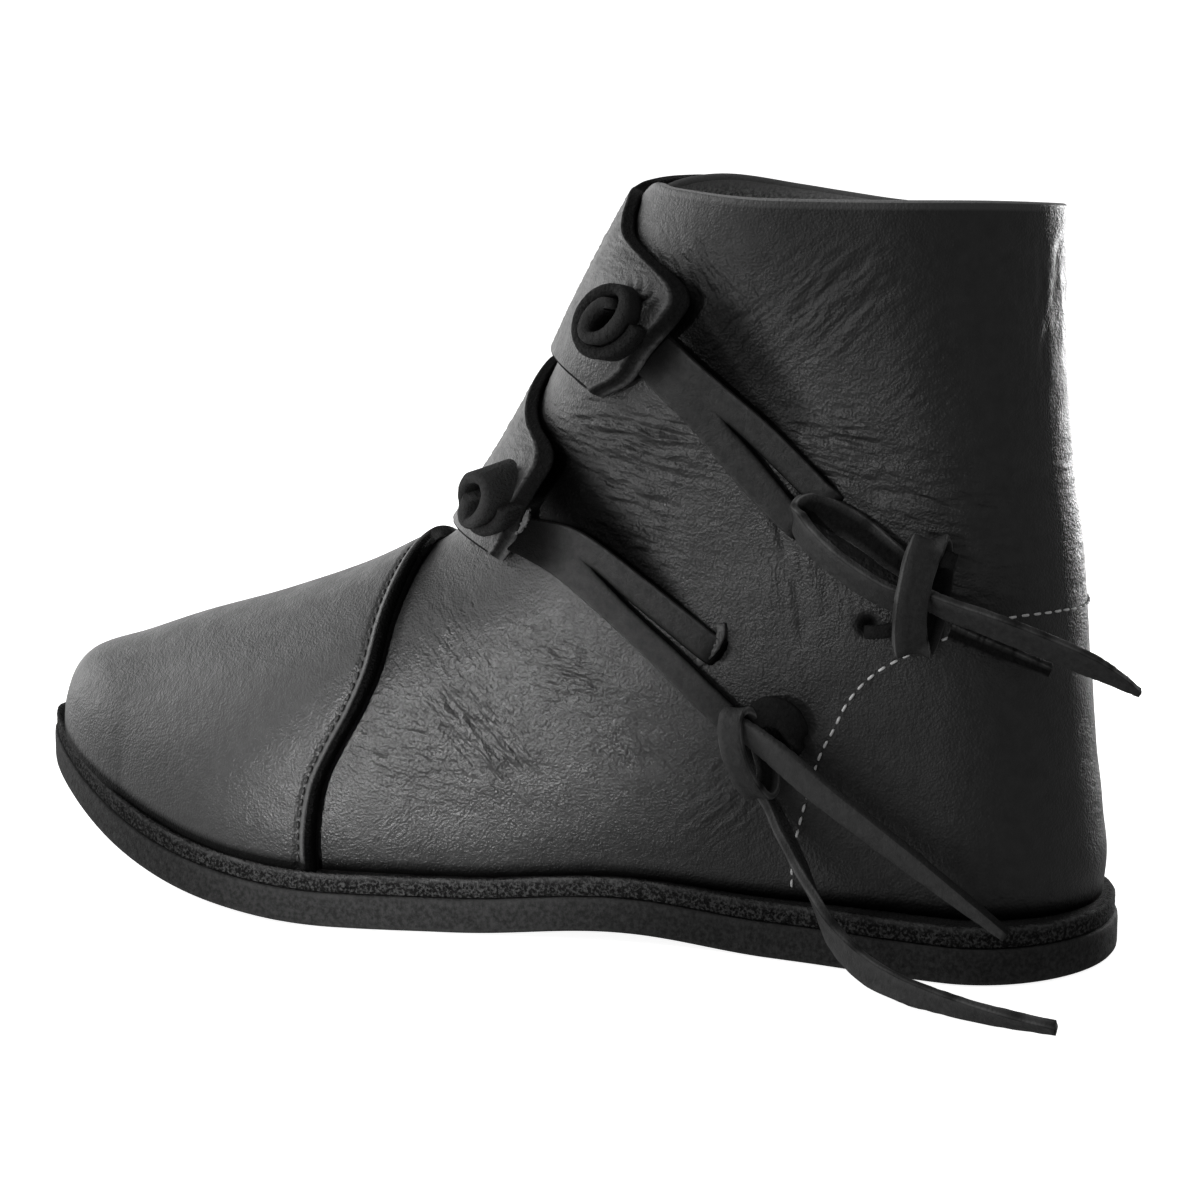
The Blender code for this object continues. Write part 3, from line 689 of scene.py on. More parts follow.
def crinkle_masks(s, z, rows):
    """Share of fine crinkles at each place, for each of their directions."""
    masks = {key: np.zeros_like(s) for key, lean in CRINKLE_LEANS}
    for s0, z0, long, wide, lean, fan, pitch, depth in rows:
        key = min(CRINKLE_LEANS, key=lambda item: min(abs(item[1] - lean), abs(item[1] + 180 - lean)))[0]
        along, across = patch_axes(s, z, s0, z0, lean)
        along = along / (CRINKLE_LONG * long)
        across = across / (CRINKLE_WIDE * wide)
        patch = min(depth / CRINKLE_FULL, CRINKLE_MOST) * np.exp(-(along**2) - across**2)
        masks[key] = np.maximum(masks[key], patch)
    return masks


def creases(s, z, rows):
    """Depth of single creases with soft shoulders."""
    total = np.zeros_like(s)
    for s0, z0, s1, z1, bow, wide, depth in rows:
        long = math.hypot(s1 - s0, z1 - z0)
        run = ((s1 - s0) / long, (z1 - z0) / long)
        share = ((s - s0) * run[0] + (z - z0) * run[1]) / long
        inside = np.clip(share, 0, 1)
        wander = 0.6 * noise(share * 6 + 20, s0, 9)
        across = (s - s0) * run[1] - (z - z0) * run[0] - bow * 4 * inside * (1 - inside) - wander
        taper = np.sin(math.pi * inside) ** 0.7 * (np.abs(share - 0.5) < 0.5)
        trough = bell(across, 0, wide)
        shoulder = bell(np.abs(across), 2 * wide, 1.2 * wide)
        total += depth * taper * (0.35 * shoulder - trough)
    return total


def relief(s, z, outer):
    """Height of the leather's creases at stations and heights, on the outer or the inner side."""
    swell = 0.5 * noise(s / 38 + 5, z / 30 + 5, 3) + 0.16 * noise(s / 9 + 5, z / 8 + 5, 4)
    out = creases(s, z, OUTER_CREASES) + ripples(s, z, OUTER_RIPPLES, 100)
    return swell + np.where(outer, out, ripples(s, z, INNER_RIPPLES, 200))


def pits(s, z):
    """Share of painted shade at a place of the outer side (painted shadow beside the tabs, painted shade in
    the holes), and the hole's depth.
    """
    dark = np.zeros_like(s)
    deep = np.zeros_like(s)
    for rows in PAINTED_TAB_SHADOWS:
        table = np.array(rows)
        steps = np.linspace(0, len(rows) - 1, 12 * len(rows))
        s0, z0, wide, share = (np.interp(steps, np.arange(len(rows)), table[:, k]) for k in range(4))
        away = ((s[:, None] - s0) ** 2 + (z[:, None] - z0) ** 2) / wide**2
        dark = np.maximum(dark, np.max(share * np.exp(-(away**2)), axis=1))
    for s0, z0, radius, depth in PITS:
        bowl = np.exp(-(((s - s0) ** 2 + (z - z0) ** 2) / radius**2) ** 2)
        # painted shade inside the hole
        dark = np.maximum(dark, bowl)
        deep = np.maximum(deep, depth * bowl)
    return dark, deep


def foot_shade(level, share, top, fade):
    """Painted shadow on the leather just above the sole's ledge."""
    return share * smooth((FEATHER + top - level) / fade)


def link(tree, start, end):
    """Wire from one socket to another."""
    tree.links.new(start, end)


def fill(node, values):
    """Set the values of a node's sockets."""
    for key, value in values.items():
        node.inputs[key].default_value = value


def texture(tree, kind, scale, where, **settings):
    """A procedural texture node at a place socket; the scale is in cells per metre."""
    node = tree.nodes.new("ShaderNodeTex" + kind)
    fill(node, {"Scale": scale, **settings})
    link(tree, where, node.inputs["Vector"])
    return node


def mixed(tree, first, second, share):
    """Colour socket that goes from the first to the second colour by a share socket."""
    node = tree.nodes.new("ShaderNodeMix")
    node.data_type = "RGBA"
    for socket, value in ((node.inputs[6], first), (node.inputs[7], second)):
        if isinstance(value, tuple):
            socket.default_value = (*value, 1.0)
        else:
            link(tree, value, socket)
    link(tree, share, node.inputs[0])
    return node.outputs[2]


def spread(tree, value, low, high, start=0.3, end=0.7):
    """Number socket stretched from one range to another."""
    node = tree.nodes.new("ShaderNodeMapRange")
    fill(node, {"From Min": start, "From Max": end, "To Min": low, "To Max": high})
    link(tree, value, node.inputs["Value"])
    return node.outputs["Result"]


def point_mask(tree, key):
    """Number socket with one of the masks that a piece has on its points."""
    node = tree.nodes.new("ShaderNodeAttribute")
    node.attribute_name = key
    return node.outputs["Fac"]


def crinkle_height(tree, where, key, lean):
    """Height socket of the fine crinkles in one direction, where their mask asks for them."""
    turned = tree.nodes.new("ShaderNodeMapping")
    turned.vector_type = "TEXTURE"
    fill(turned, {"Rotation": (math.radians(lean), 0, 0), "Scale": CRINKLE_CELL})
    link(tree, where, turned.inputs["Vector"])
    pattern = texture(tree, "Noise", 1.0, turned.outputs["Vector"], Detail=1.0, Distortion=0.15)
    masked = tree.nodes.new("ShaderNodeMath")
    masked.operation = "MULTIPLY"
    link(tree, pattern.outputs["Fac"], masked.inputs[0])
    link(tree, point_mask(tree, key), masked.inputs[1])
    return masked.outputs["Value"]


def finish(
    name, dark, light, cells, rough, bumps,
    worn_and_lit=None, shaded=None, sheen=0.0, specular=0.5, crinkles=(), band=(0.3, 0.7),
):
    """Leather or rubber finish: mottled colour, uneven gloss and layers of bump."""
    made = bpy.data.materials.new(name)
    made.use_nodes = True
    tree = made.node_tree
    shader = tree.nodes["Principled BSDF"]
    fill(shader, {"Specular IOR Level": specular, "Sheen Weight": sheen, "Sheen Roughness": 0.6})
    where = tree.nodes.new("ShaderNodeTexCoord").outputs["Object"]
    mottle = texture(tree, "Noise", cells, where, Detail=5.0, Roughness=0.6).outputs["Fac"]
    colour = mixed(tree, (dark,) * 3, (light,) * 3, spread(tree, mottle, 0.0, 1.0, *band))
    # Lighter tone by the wear mask on the points: real wear on edges and soles, a painted highlight on the
    # cap's roll, painted light on the tab's lower edge, and painted shade where it stays low on the
    # toggles' outer turns
    if worn_and_lit is not None:
        colour = mixed(tree, colour, (worn_and_lit,) * 3, point_mask(tree, "wear"))
    # Painted shade: the shade mask on the points darkens the colour and takes away most of the gloss
    if shaded is not None:
        shade = point_mask(tree, "shade")
        colour = mixed(tree, colour, (shaded,) * 3, shade)
        gloss = spread(tree, shade, specular, SHADED_GLOSS * specular, 0.0, 1.0)
        link(tree, gloss, shader.inputs["Specular IOR Level"])
    link(tree, colour, shader.inputs["Base Color"])
    patches = texture(tree, "Noise", cells * 0.6, where, Detail=4.0).outputs["Fac"]
    link(tree, spread(tree, patches, *rough), shader.inputs["Roughness"])
    heights = [(crinkle_height(tree, where, *row), 1.0, CRINKLE_DEPTH) for row in crinkles]
    for kind, scale, strength, depth in bumps:
        output = "Fac" if kind == "Noise" else "Distance"
        heights.append((texture(tree, kind, scale, where).outputs[output], strength, depth))
    normal = None
    for height, strength, depth in heights:
        node = tree.nodes.new("ShaderNodeBump")
        fill(node, {"Strength": strength, "Distance": depth * MM})
        link(tree, height, node.inputs["Height"])
        if normal is not None:
            link(tree, normal, node.inputs["Normal"])
        normal = node.outputs["Normal"]
    link(tree, normal, shader.inputs["Normal"])
    return made


# Finishes: darkest and lightest tone, cells per metre, roughness, then bumps with their cells per metre,
# strength and depth in millimetres
# Share of the gloss that is left where the painted shade is full
SHADED_GLOSS = 0.04
STRAP_BUMPS = [("Noise", 420.0, 0.5, 0.6), ("Noise", 1500.0, 0.5, 0.3), ("Noise", 2800.0, 0.7, 0.2)]
THREAD_BUMPS = [("Noise", 3000.0, 0.5, 0.2)]
LEATHER = finish(
    "black_grain_leather", 0.010, 0.021, 300.0, (0.40, 0.50),
    [("Noise", 500.0, 0.42, 0.5), ("Voronoi", 1500.0, 0.52, 0.23), ("Noise", 2600.0, 0.62, 0.2)],
    worn_and_lit=0.06, shaded=0.0008, crinkles=CRINKLE_LEANS,
)
EDGE = finish(
    "raw_leather_edge", 0.002, 0.008, 900.0, (0.8, 0.98),
    [("Noise", 1500.0, 0.8, 0.5), ("Noise", 4000.0, 0.6, 0.2)],
    worn_and_lit=0.15, specular=0.12,
)
SUEDE = finish(
    "flesh_side_leather", 0.10, 0.58, 1100.0, (0.9, 1.0),
    [("Noise", 1600.0, 0.8, 0.5), ("Noise", 5000.0, 0.6, 0.2)],
    worn_and_lit=0.24, sheen=0.15, specular=0.2, band=(0.40, 0.62),
)
STRAP = finish(
    "strap_leather", 0.011, 0.024, 700.0, (0.52, 0.70), STRAP_BUMPS,
    worn_and_lit=0.07, shaded=0.002, specular=0.32,
)
THONG = finish(
    "thong_end_leather", 0.022, 0.042, 700.0, (0.54, 0.70), STRAP_BUMPS,
    worn_and_lit=0.09, shaded=0.002, specular=0.3,
)
FLESH = finish(
    "strap_flesh_side", 0.014, 0.06, 1300.0, (0.85, 1.0),
    [("Noise", 1500.0, 0.8, 0.5), ("Noise", 4500.0, 0.6, 0.2)],
    worn_and_lit=0.14, specular=0.2,
)
ROLL = finish(
    "rolled_toggle_leather", 0.003, 0.024, 1700.0, (0.8, 0.98),
    [("Noise", 1200.0, 1.0, 0.6), ("Noise", 3200.0, 0.9, 0.3)],
    worn_and_lit=0.034, specular=0.2,
)
RUBBER = finish(
    "sole_rubber", 0.010, 0.032, 900.0, (0.7, 0.88),
    [("Noise", 700.0, 0.5, 0.5), ("Noise", 2400.0, 0.8, 0.3)],
    worn_and_lit=0.04, specular=0.22, band=(0.38, 0.64),
)
FIBRE = finish(
    "fibrous_midsole_edge", 0.001, 0.065, 1300.0, (0.85, 1.0),
    [("Noise", 1300.0, 1.0, 0.8), ("Noise", 3400.0, 0.9, 0.4)],
    worn_and_lit=0.09, shaded=0.004, specular=0.12, band=(0.46, 0.62),
)
THREAD = finish("waxed_thread", 0.55, 0.85, 900.0, (0.6, 0.8), THREAD_BUMPS)
CAP_THREAD = finish("dark_waxed_thread", 0.002, 0.018, 900.0, (0.5, 0.7), THREAD_BUMPS)


def add_piece(name, points, faces, finishes, picks=None, **masks):
    """One smooth piece from points in millimetres, with a finish for each face and masks for its points."""
    mesh = bpy.data.meshes.new(name)
    mesh.from_pydata((np.asarray(points, float) * MM).tolist(), [], faces)
    for made in finishes:
        mesh.materials.append(made)
    if picks is not None:
        mesh.polygons.foreach_set("material_index", np.asarray(picks, np.int32))
    work = bmesh.new()
    work.from_mesh(mesh)
    bmesh.ops.recalc_face_normals(work, faces=work.faces)
    work.to_mesh(mesh)
    work.free()
    mesh.polygons.foreach_set("use_smooth", [True] * len(mesh.polygons))
    for key, values in masks.items():
        mask = mesh.attributes.new(key, "FLOAT", "POINT")
        mask.data.foreach_set("value", np.asarray(values, np.float32).ravel())
    piece = bpy.data.objects.new(name, mesh)
    bpy.context.scene.collection.objects.link(piece)
    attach(piece, "root")
    return piece


def grid_faces(rows, cols, closed, start=0):
    """Quads of a grid of points, row after row, closed round its columns or open."""
    r = np.arange(rows - 1)[:, None] * cols + start
    c = np.arange(cols if closed else cols - 1)[None, :]
    d = (c + 1) % cols
    return np.stack([r + c, r + d, r + cols + d, r + cols + c], axis=-1).reshape(-1, 4).tolist()


def closing_faces(rows, cols):
    """Quads from the last row of a grid, closed round its columns, back to its first row."""
    last = (rows - 1) * cols
    return [(last + c, last + (c + 1) % cols, (c + 1) % cols, c) for c in range(cols)]


def plate(name, outside, inside, finishes, rim=0, side_rim=0, **masks):
    """Sheet between two open grids of points, with its border rows in the second finish."""
    rows, cols = outside.shape[:2]
    count = rows * cols
    faces = grid_faces(rows, cols, False) + grid_faces(rows, cols, False, count)
    r, c = np.divmod(np.arange((rows - 1) * (cols - 1)), cols - 1)
    near = (r < rim) | (c < side_rim) | (r >= rows - 1 - rim)
    picks = np.where(near, 1, 0).tolist() + [len(finishes) - 1] * len(r)
    border = [[(0, k) for k in range(cols)], [(rows - 1, k) for k in range(cols)]]
    border += [[(k, 0) for k in range(rows)], [(k, cols - 1) for k in range(rows)]]
    for line in border:
        for (a, b), (a2, b2) in zip(line, line[1:]):
            p = a * cols + b
            q = a2 * cols + b2
            faces.append((p, q, q + count, p + count))
            picks.append(1)
    points = np.concatenate([outside.reshape(-1, 3), inside.reshape(-1, 3)])
    both = {key: np.tile(np.ravel(mask), 2) for key, mask in masks.items()}
    return add_piece(name, points, faces, finishes, picks, **both)


def edge_share(distance, radius=0.8, square=0.62):
    """Share of the full thickness near a cut edge with softened corners."""
    t = np.clip(distance / radius, 0, 1)
    return square + (1 - square) * np.sqrt(1 - (1 - t) ** 2)


def distances(points):
    """Distance of each point of a line from its start, along the line."""
    return np.concatenate([[0], np.cumsum(np.linalg.norm(np.diff(points, axis=0), axis=1))])


def even_angles(level, start, end, count):
    """Angles from start to end at equal distances along a level's ring, without the last one."""
    fine = np.linspace(start, end, 1200)
    points = ring(np.full_like(fine, level), fine)
    run = distances(points)
    return np.interp(np.linspace(0, run[-1], count, endpoint=False), run, fine)


def build_upper():
    """Hollow body of the boot with creased leather outside, a rounded collar edge and suede inside."""
    outer_angles = even_angles(SPACING_LEVEL, 0.0, 180.0, OUTER_COLUMNS)
    angles = np.concatenate([outer_angles, even_angles(SPACING_LEVEL, 180.0, 360.0, INNER_COLUMNS)])
    cols = len(angles)
    rows, picks, shades = [], [], []
    crinkled = {key: [] for key, lean in CRINKLE_LEANS}
    outer = angles < 180
    rim = WALL / 2
    coarse = np.linspace(FEATHER, FINE_FROM, COARSE_ROWS)[:-1]
    outside = np.concatenate([coarse, np.linspace(FINE_FROM, COLLAR_HEIGHT - rim, FINE_ROWS)])
    for level in outside:
        levels = collar_level(level, angles)
        s = LENGTH / 2 - ring(levels, angles)[:, 1]
        z = levels + rise(s)
        # Painted shade: shadows beside the tabs, the insides of the holes and the line above the sole's
        # ledge
        dark, deep = pits(s, z)
        dark = np.maximum(dark, foot_shade(levels, *UPPER_FOOT_SHADE))
        fade = smooth((z - RELIEF_FOOT[0]) / RELIEF_FOOT[1])
        fade = fade * smooth((RELIEF_TOP[0] - z) / RELIEF_TOP[1])
        height = relief(s, z, outer) * fade - np.where(outer, deep, 0)
        rows.append(face(levels, angles, height))
        shades.append(np.where(outer, dark, 0))
        out_masks = crinkle_masks(s, z, OUTER_RIPPLES)
        in_masks = crinkle_masks(s, z, INNER_RIPPLES)
        for key in crinkled:
            crinkled[key].append(np.where(outer, out_masks[key], in_masks[key]) * fade)
        picks.append(0)
    for turn in np.radians(RIM_TURNS):
        levels = collar_level(COLLAR_HEIGHT - rim + rim * math.sin(turn), angles)
        rows.append(face(levels, angles, -rim + rim * math.cos(turn)))
        picks.append(1)
    for level in np.linspace(COLLAR_HEIGHT - rim, FEATHER, INSIDE_ROWS):
        rows.append(face(collar_level(level, angles), angles, -WALL))
        picks.append(2)
    points = np.array(rows).reshape(-1, 3)
    faces = grid_faces(len(rows), cols, True) + closing_faces(len(rows), cols)
    picks = np.repeat(picks, cols)
    overlapped = np.tile(angles > RIM_CHANGE, len(rows))
    picks = np.where((picks == 1) & overlapped, 3, picks)
    wear = np.zeros(len(points))
    worn_from, worn_to = (len(outside) + row for row in RIM_WORN_ROWS)
    wear[worn_from * cols : worn_to * cols] = 1.0
    masks = {"wear": wear}
    for key, values in {"shade": shades, **crinkled}.items():
        masks[key] = np.zeros(len(points))
        masks[key][: len(values) * cols] = np.concatenate(values)
    piece = add_piece("upper_leather", points, faces, [LEATHER, SUEDE, SUEDE, EDGE], picks, **masks)
    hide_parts("upper")
    return piece


def build_flap(name, rows, root):
    """Flap that leaves the inner side of the upper, crosses the front and ends in a free tab."""
    index = np.arange(len(rows))
    station, height, lifted, turned = np.array(rows).T
    ends = FLAP_END_STEPS / FLAP_EDGE_LONG
    v = np.concatenate([ends, np.linspace(0.05, 0.95, 120), 1 - ends[::-1]])[:, None]
    d = np.concatenate([FLAP_BEVEL_STEPS, FLAP_NEAR_STEPS, FLAP_FAR_STEPS])[None, :]
    u = d / FLAP_REACH
    t = v * index[-1]
    tab = t - TAB_START
    shifted = station - FLAP_SHIFT * lifted
    edge_level = height - rise(shifted)
    edge_angle = angle_at(edge_level, shifted) + turned
    level = curve(index, edge_level)(t)
    start = curve(index, edge_angle)(t)
    angles = start + (FLAP_ROOT_ANGLE - start) * u
    levels = level + (root[0] + (root[1] - root[0]) * v - level) * (1 - (1 - u) ** FLAP_SWEEP)
    levels = np.minimum(levels, collar_level(COLLAR_HEIGHT, angles) + FLAP_OVER_COLLAR)
    ramp = smooth((1 - u) / FLAP_RAMP)
    lift = FLAP_GROUND + curve(index, lifted)(t) * bell(d, 0, FLAP_LIFT_REACH)
    half = FLAP_SHOWN_THICK / 2 * edge_share(FLAP_EDGE_LONG * np.minimum(v, 1 - v))
    cut_wide = FLAP_CUT_WIDE - 0.9 * smooth(tab - 0.3)
    cut = FLAP_CUT_FALL * np.clip(1 - d / cut_wide, 0, 1)
    bent = d + 1.2 * noise(t * 1.3, d / 9, 21) - 0.8 * tab
    lines = (0.5 + 0.5 * np.cos(2 * math.pi * bent / TAB_LINE_PITCH)) ** 1.4
    patch = bell(tab, 0.1, 0.9) * smooth((d - 3) / 1.5) * smooth((12 - d) / 4)
    patch = patch * np.clip(0.75 + 0.6 * noise(d / 2, t * 2.5, 25), 0, 1)
    grain = 0.12 * noise(d / 2.2, t * 6, 22) + 0.10 * noise(d / 6, t * 9, 23)
    wrinkle = (TAB_LINE_DEPTH * lines * patch + grain) * smooth((d - 2.4) / 2)
    middle = (lift + FLAP_SHOWN_THICK / 2) * ramp - 0.6 * (1 - ramp)
    outside = face(levels, angles, middle + (half - cut - wrinkle) * ramp)
    inside = face(levels, angles, middle - half * ramp - 0.3 * (1 - ramp))
    ragged = np.clip(0.7 + 0.5 * noise(d, t * 14, 24), 0, 1)
    # The tab's lower cut edge is painted lighter: partly its fibrous cut face, partly painted light where
    # it faces the lamps; a lighter line also runs along the top of the cut edge
    low_edge = smooth((tab - 0.6) / 1.2) * (d < 2.0)
    wear = np.maximum(bell(d, 2.4, 0.3), 0.7 * low_edge * bell(d, 0.2, 0.4)) * ragged
    # Painted shade in the tab's wrinkle lines
    shade = TAB_LINE_SHADE * lines * patch
    finishes = [LEATHER, EDGE, FLESH]
    piece = plate(name, outside, inside, finishes, rim=2, side_rim=6, wear=wear, shade=shade)
    return piece


def build_cap():
    """Toe cap with a seam groove and a rolled rear edge in painted shade, with a painted highlight beside
    it.
    """
    levels = FEATHER + (CAP_TOP - FEATHER) * (1 - (1 - np.linspace(0, 1, CAP_MESH_ROWS)) ** 1.25)
    half = (np.arange(CAP_MESH_HALF) / (CAP_MESH_HALF - 1)) ** 1.7
    t = np.concatenate([half / 2, 1 - half[-2::-1] / 2])[None, :]
    level = levels[:, None]
    edge = angle_at(level, CAP["edge"](level))
    angles = edge + (360 - 2 * edge) * t
    s = LENGTH / 2 - ring(level, angles)[..., 1]
    d = np.maximum(s - CAP["edge"](level), 0) * CAP_SLANT
    bead = CAP_BEAD * bell(d, *CAP_BEAD_AT)
    groove = CAP_GROOVE * bell(d, *CAP_GROOVE_AT)
    swell = 0.25 * noise(s / 30, level / 22, 31)
    top = CAP_BOTTOM + CAP_THICK * edge_share(d, 1.3, 0.5) + bead - groove + swell * smooth(d / 8)
    outside = face(level, angles, top)
    inside = face(level, angles, CAP_BOTTOM)
    outside[0] = flat_face(level[0], angles[0], CAP_BOTTOM + CAP_THICK)
    inside[0] = flat_face(level[0], angles[0], CAP_BOTTOM)
    # Painted highlight on the lit side of the roll, and painted shade on the rolled edge that faces away
    # from the light
    wear = bell(d, *CAP_PAINTED_HIGHLIGHT_AT)
    edge_painted_shade = smooth((CAP_DARK_EDGE[0] - d) / CAP_DARK_EDGE[1])
    shade = np.maximum(edge_painted_shade, foot_shade(level, *CAP_FOOT_SHADE))
    piece = plate("toe_cap_leather", outside, inside, [LEATHER, EDGE, FLESH], wear=wear, shade=shade)
    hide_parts("toe_cap")
    return piece


def build_sole_layer(name, node, profile, inset, finishes, count, rough):
    """Layer of the sole: a side wall with its own profile, and flat faces above and below."""
    step = np.arange(count)
    turn = (step + 0.5) * 2 * math.pi / count
    rows = []
    wear = []
    for j, (push, z, worn_and_lit) in enumerate(profile):
        reach = LENGTH / 2 - inset - push
        s = LENGTH / 2 - reach * np.cos(turn)
        outer, inner = sole_edges(s, inset + push)
        x = np.where(turn < math.pi, outer, inner)
        grit = rough * (noise(step / 1.5, j * 1.3, 41) + noise(step / 6, j / 3, 42))
        x = x + np.sign(x - centre_line(s)) * grit
        rows.append(place(x, s, z + rise(s) + 0.4 * grit))
        wear.append(worn_and_lit * (0.6 + 0.4 * noise(step / 3, j, 43)))
    faces = grid_faces(len(rows), count, True)
    picks = [0] * len(faces)
    for base, pick in ((0, 0), ((len(rows) - 1) * count, 1)):
        for i in range(count // 2 - 1):
            faces.append((base + i, base + i + 1, base + count - 2 - i, base + count - 1 - i))
            picks.append(pick)
    piece = add_piece(name, np.array(rows).reshape(-1, 3), faces, finishes, picks, wear=wear)
    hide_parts(node)
    return piece


def build_insole():
    """Flat inner sole with rounded edges and a slight hollow for the foot."""
    turn = (np.arange(INSOLE_STEPS) + 0.5) * 180.0 / INSOLE_STEPS
    across = np.linspace(-1, 1, INSOLE_ACROSS)
    inset = -WALL - 2 * CLEARANCE
    outer = flat_face(FEATHER, turn, inset)
    inner = flat_face(FEATHER, 360.0 - turn, inset)
    w = (across / 2 + 0.5)[None, :, None]
    base = inner[:, None] * (1 - w) + outer[:, None] * w
    hollow = INSOLE_HOLLOW * (1 - across**2)
    rounding = INSOLE_ROUND * np.clip(np.abs(across) - (1 - INSOLE_EDGE), 0, 1) / INSOLE_EDGE
    top = base + np.array([0, 0, 1.0]) * (INSOLE_THICK - hollow - rounding)[:, None]
    piece = plate("insole_leather", top, base, [SUEDE, EDGE, SUEDE])
    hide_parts("insole")
    return piece


def build_strand(name, rows, slit_below):
    """Flat strand of a thong on the outer side, between its two edge lines."""
    line = row_curves(STRAND_COLUMNS, rows)
    end = len(rows) - 1
    t = np.linspace(0, end, STRAND_STEPS)[:, None]
    d = np.array(STRAND_ACROSS)[None, :]
    w = d / STRAND_WIDE
    s = line["low_s"](t) + (line["top_s"](t) - line["low_s"](t)) * w
    z = line["low_z"](t) + (line["top_z"](t) - line["low_z"](t)) * w
    s = s + 0.10 * noise(t * 3, w, 52)
    gap = np.minimum(d, STRAND_WIDE - d)
    inner = (d < STRAND_WIDE / 2) == slit_below
    opened = np.clip(line["split"](t) * 3, 0, 1)
    cut = np.where(inner, opened, 1.0)
    half = STRAP_THICK / 2 * (1 - (1 - edge_share(gap, 0.6, 0.6)) * cut)
    level, angle = on_side(s, z)
    # Painted shade: at a strand's end where it dives into its slot, painted shadow at its root under the
    # tab, and along the open slit
    strand_painted_shade = smooth((t - end + 1.4) / 1.2) * (line["lift"](end) < 0)
    for s0, z0, radius in STRAP_ROOT_SHADOWS:
        away = ((s - s0) ** 2 + (z - z0) ** 2) / radius**2
        strand_painted_shade = np.maximum(strand_painted_shade, 0.95 * np.exp(-(away**3)))
    strand_painted_shade = np.maximum(strand_painted_shade, np.where(inner, opened, 0.0) * bell(gap, 0, 0.8))
    middle = line["lift"](t) + STRAP_THICK / 2 + 0.16 * noise(t * 2, d / 6, 51)
    outside = face(level, angle, middle + half)
    inside = face(level, angle, middle - half)
    wear = 0.5 * bell(gap, 0.3, 0.25) * cut * (0.6 + 0.5 * noise(t * 12, d, 53))
    wear = np.clip(wear, 0, 1)
    return plate(name, outside, inside, [STRAP, EDGE, FLESH], wear=wear, shade=strand_painted_shade)


# Cross section of a strap with soft cut edges, in half widths and half thicknesses
HALF_SECTION = np.array([
    (-0.88, 1), (-0.4, 1), (0, 1), (0.4, 1), (0.88, 1), (0.97, 0.7), (1, 0.25), (1, -0.25), (0.97, -0.7),
])
SECTION = np.concatenate([HALF_SECTION, -HALF_SECTION])
SECTION_PICKS = [0] * 4 + [1] * 5 + [2] * 4 + [1] * 5
STRAP_GRIT = 0.12
FRAY_GRIT = 0.5


def sweep(name, points, sides, widths, thick, finishes, closed=False, grit=STRAP_GRIT, tone=None):
    """Flat strap along a line of points, with soft cut edges."""
    if closed:
        runs = unit(np.roll(points, -1, axis=0) - np.roll(points, 1, axis=0))
    else:
        runs = unit(np.gradient(points, axis=0))
    sides = unit(sides - np.sum(sides * runs, axis=1, keepdims=True) * runs)
    outs = np.cross(runs, sides)
    count, size = len(points), len(SECTION)
    across, over = SECTION.T
    steps = np.arange(count)[:, None]
    rough = grit * noise(steps / 2.2, across * 5 + over * 3 + 19, 61)
    a = across * (widths[:, None] / 2 + rough)
    b = over * (thick / 2 + 0.5 * rough)
    grid = points[:, None] + sides[:, None] * a[..., None] + outs[:, None] * b[..., None]
    faces = grid_faces(count, size, True)
    picks = SECTION_PICKS * (count - 1)
    if closed:
        faces += closing_faces(count, size)
        picks += SECTION_PICKS
    else:
        faces += [tuple(range(size)), tuple(range((count - 1) * size, count * size))]
        picks += [1, 1]
    if tone is None:
        uneven = np.clip(0.7 + 0.6 * noise(steps / 4, across * 2 + 5, 62), 0, 1)
        wear = bell(np.abs(across), 0.95, 0.06) * uneven
    else:
        wear = np.repeat(tone, size)
    return add_piece(name, grid.reshape(-1, 3), faces, finishes, picks, wear=wear)


def route(rows, steps):
    """Points, width directions and widths of a loose strap's route."""
    line = row_curves(ROUTE_COLUMNS, rows)
    t = np.linspace(0, len(rows) - 1, steps)
    points = place(line["sideways"](t), line["station"](t), line["height"](t))
    runs = unit(np.gradient(points, axis=0))
    up = unit(np.array((0.0, 0.0, 1.0)) - runs[:, 2:] * runs)
    out = np.cross(runs, up)
    roll = np.radians(line["roll"](t))[:, None]
    return points, np.cos(roll) * up + np.sin(roll) * out, line["wide"](t)


def build_cord(name, node, rows, smooth_side, tone=None):
    """Loose end or loop of a thong."""
    points, sides, widths = route(rows, CORD_STEPS)
    outer_first = [THONG, EDGE, FLESH] if smooth_side > 0 else [EDGE, EDGE, THONG]
    if tone is not None:
        tone = np.linspace(*tone, CORD_STEPS)
    piece = sweep(name, points, sides, widths, CORD_THICK, outer_first, tone=tone)
    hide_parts(node)
    return piece


def build_lip(name, rows, height, wide, thick, made, tone, flat):
    """Raised lip of leather at the end of a slot, or a flat frayed bit beside a tab."""
    line = row_curves(LINE_COLUMNS, rows)
    t = np.linspace(0, len(rows) - 1, LIP_STEPS)
    level, angle = on_side(line["station"](t), line["height"](t))
    points = face(level, angle, height)
    sides = unit(face(level, angle, 1.0) - face(level, angle, 0.0))
    if flat:
        sides = np.cross(sides, unit(np.gradient(points, axis=0)))
    widths = 0.3 + wide * np.sin(math.pi * t / t[-1]) ** 0.6
    grit = FRAY_GRIT if flat else STRAP_GRIT
    tones = np.full(LIP_STEPS, tone)
    piece = sweep(name, points, sides, widths, thick, [made] * 3, grit=grit, tone=tones)
    return piece


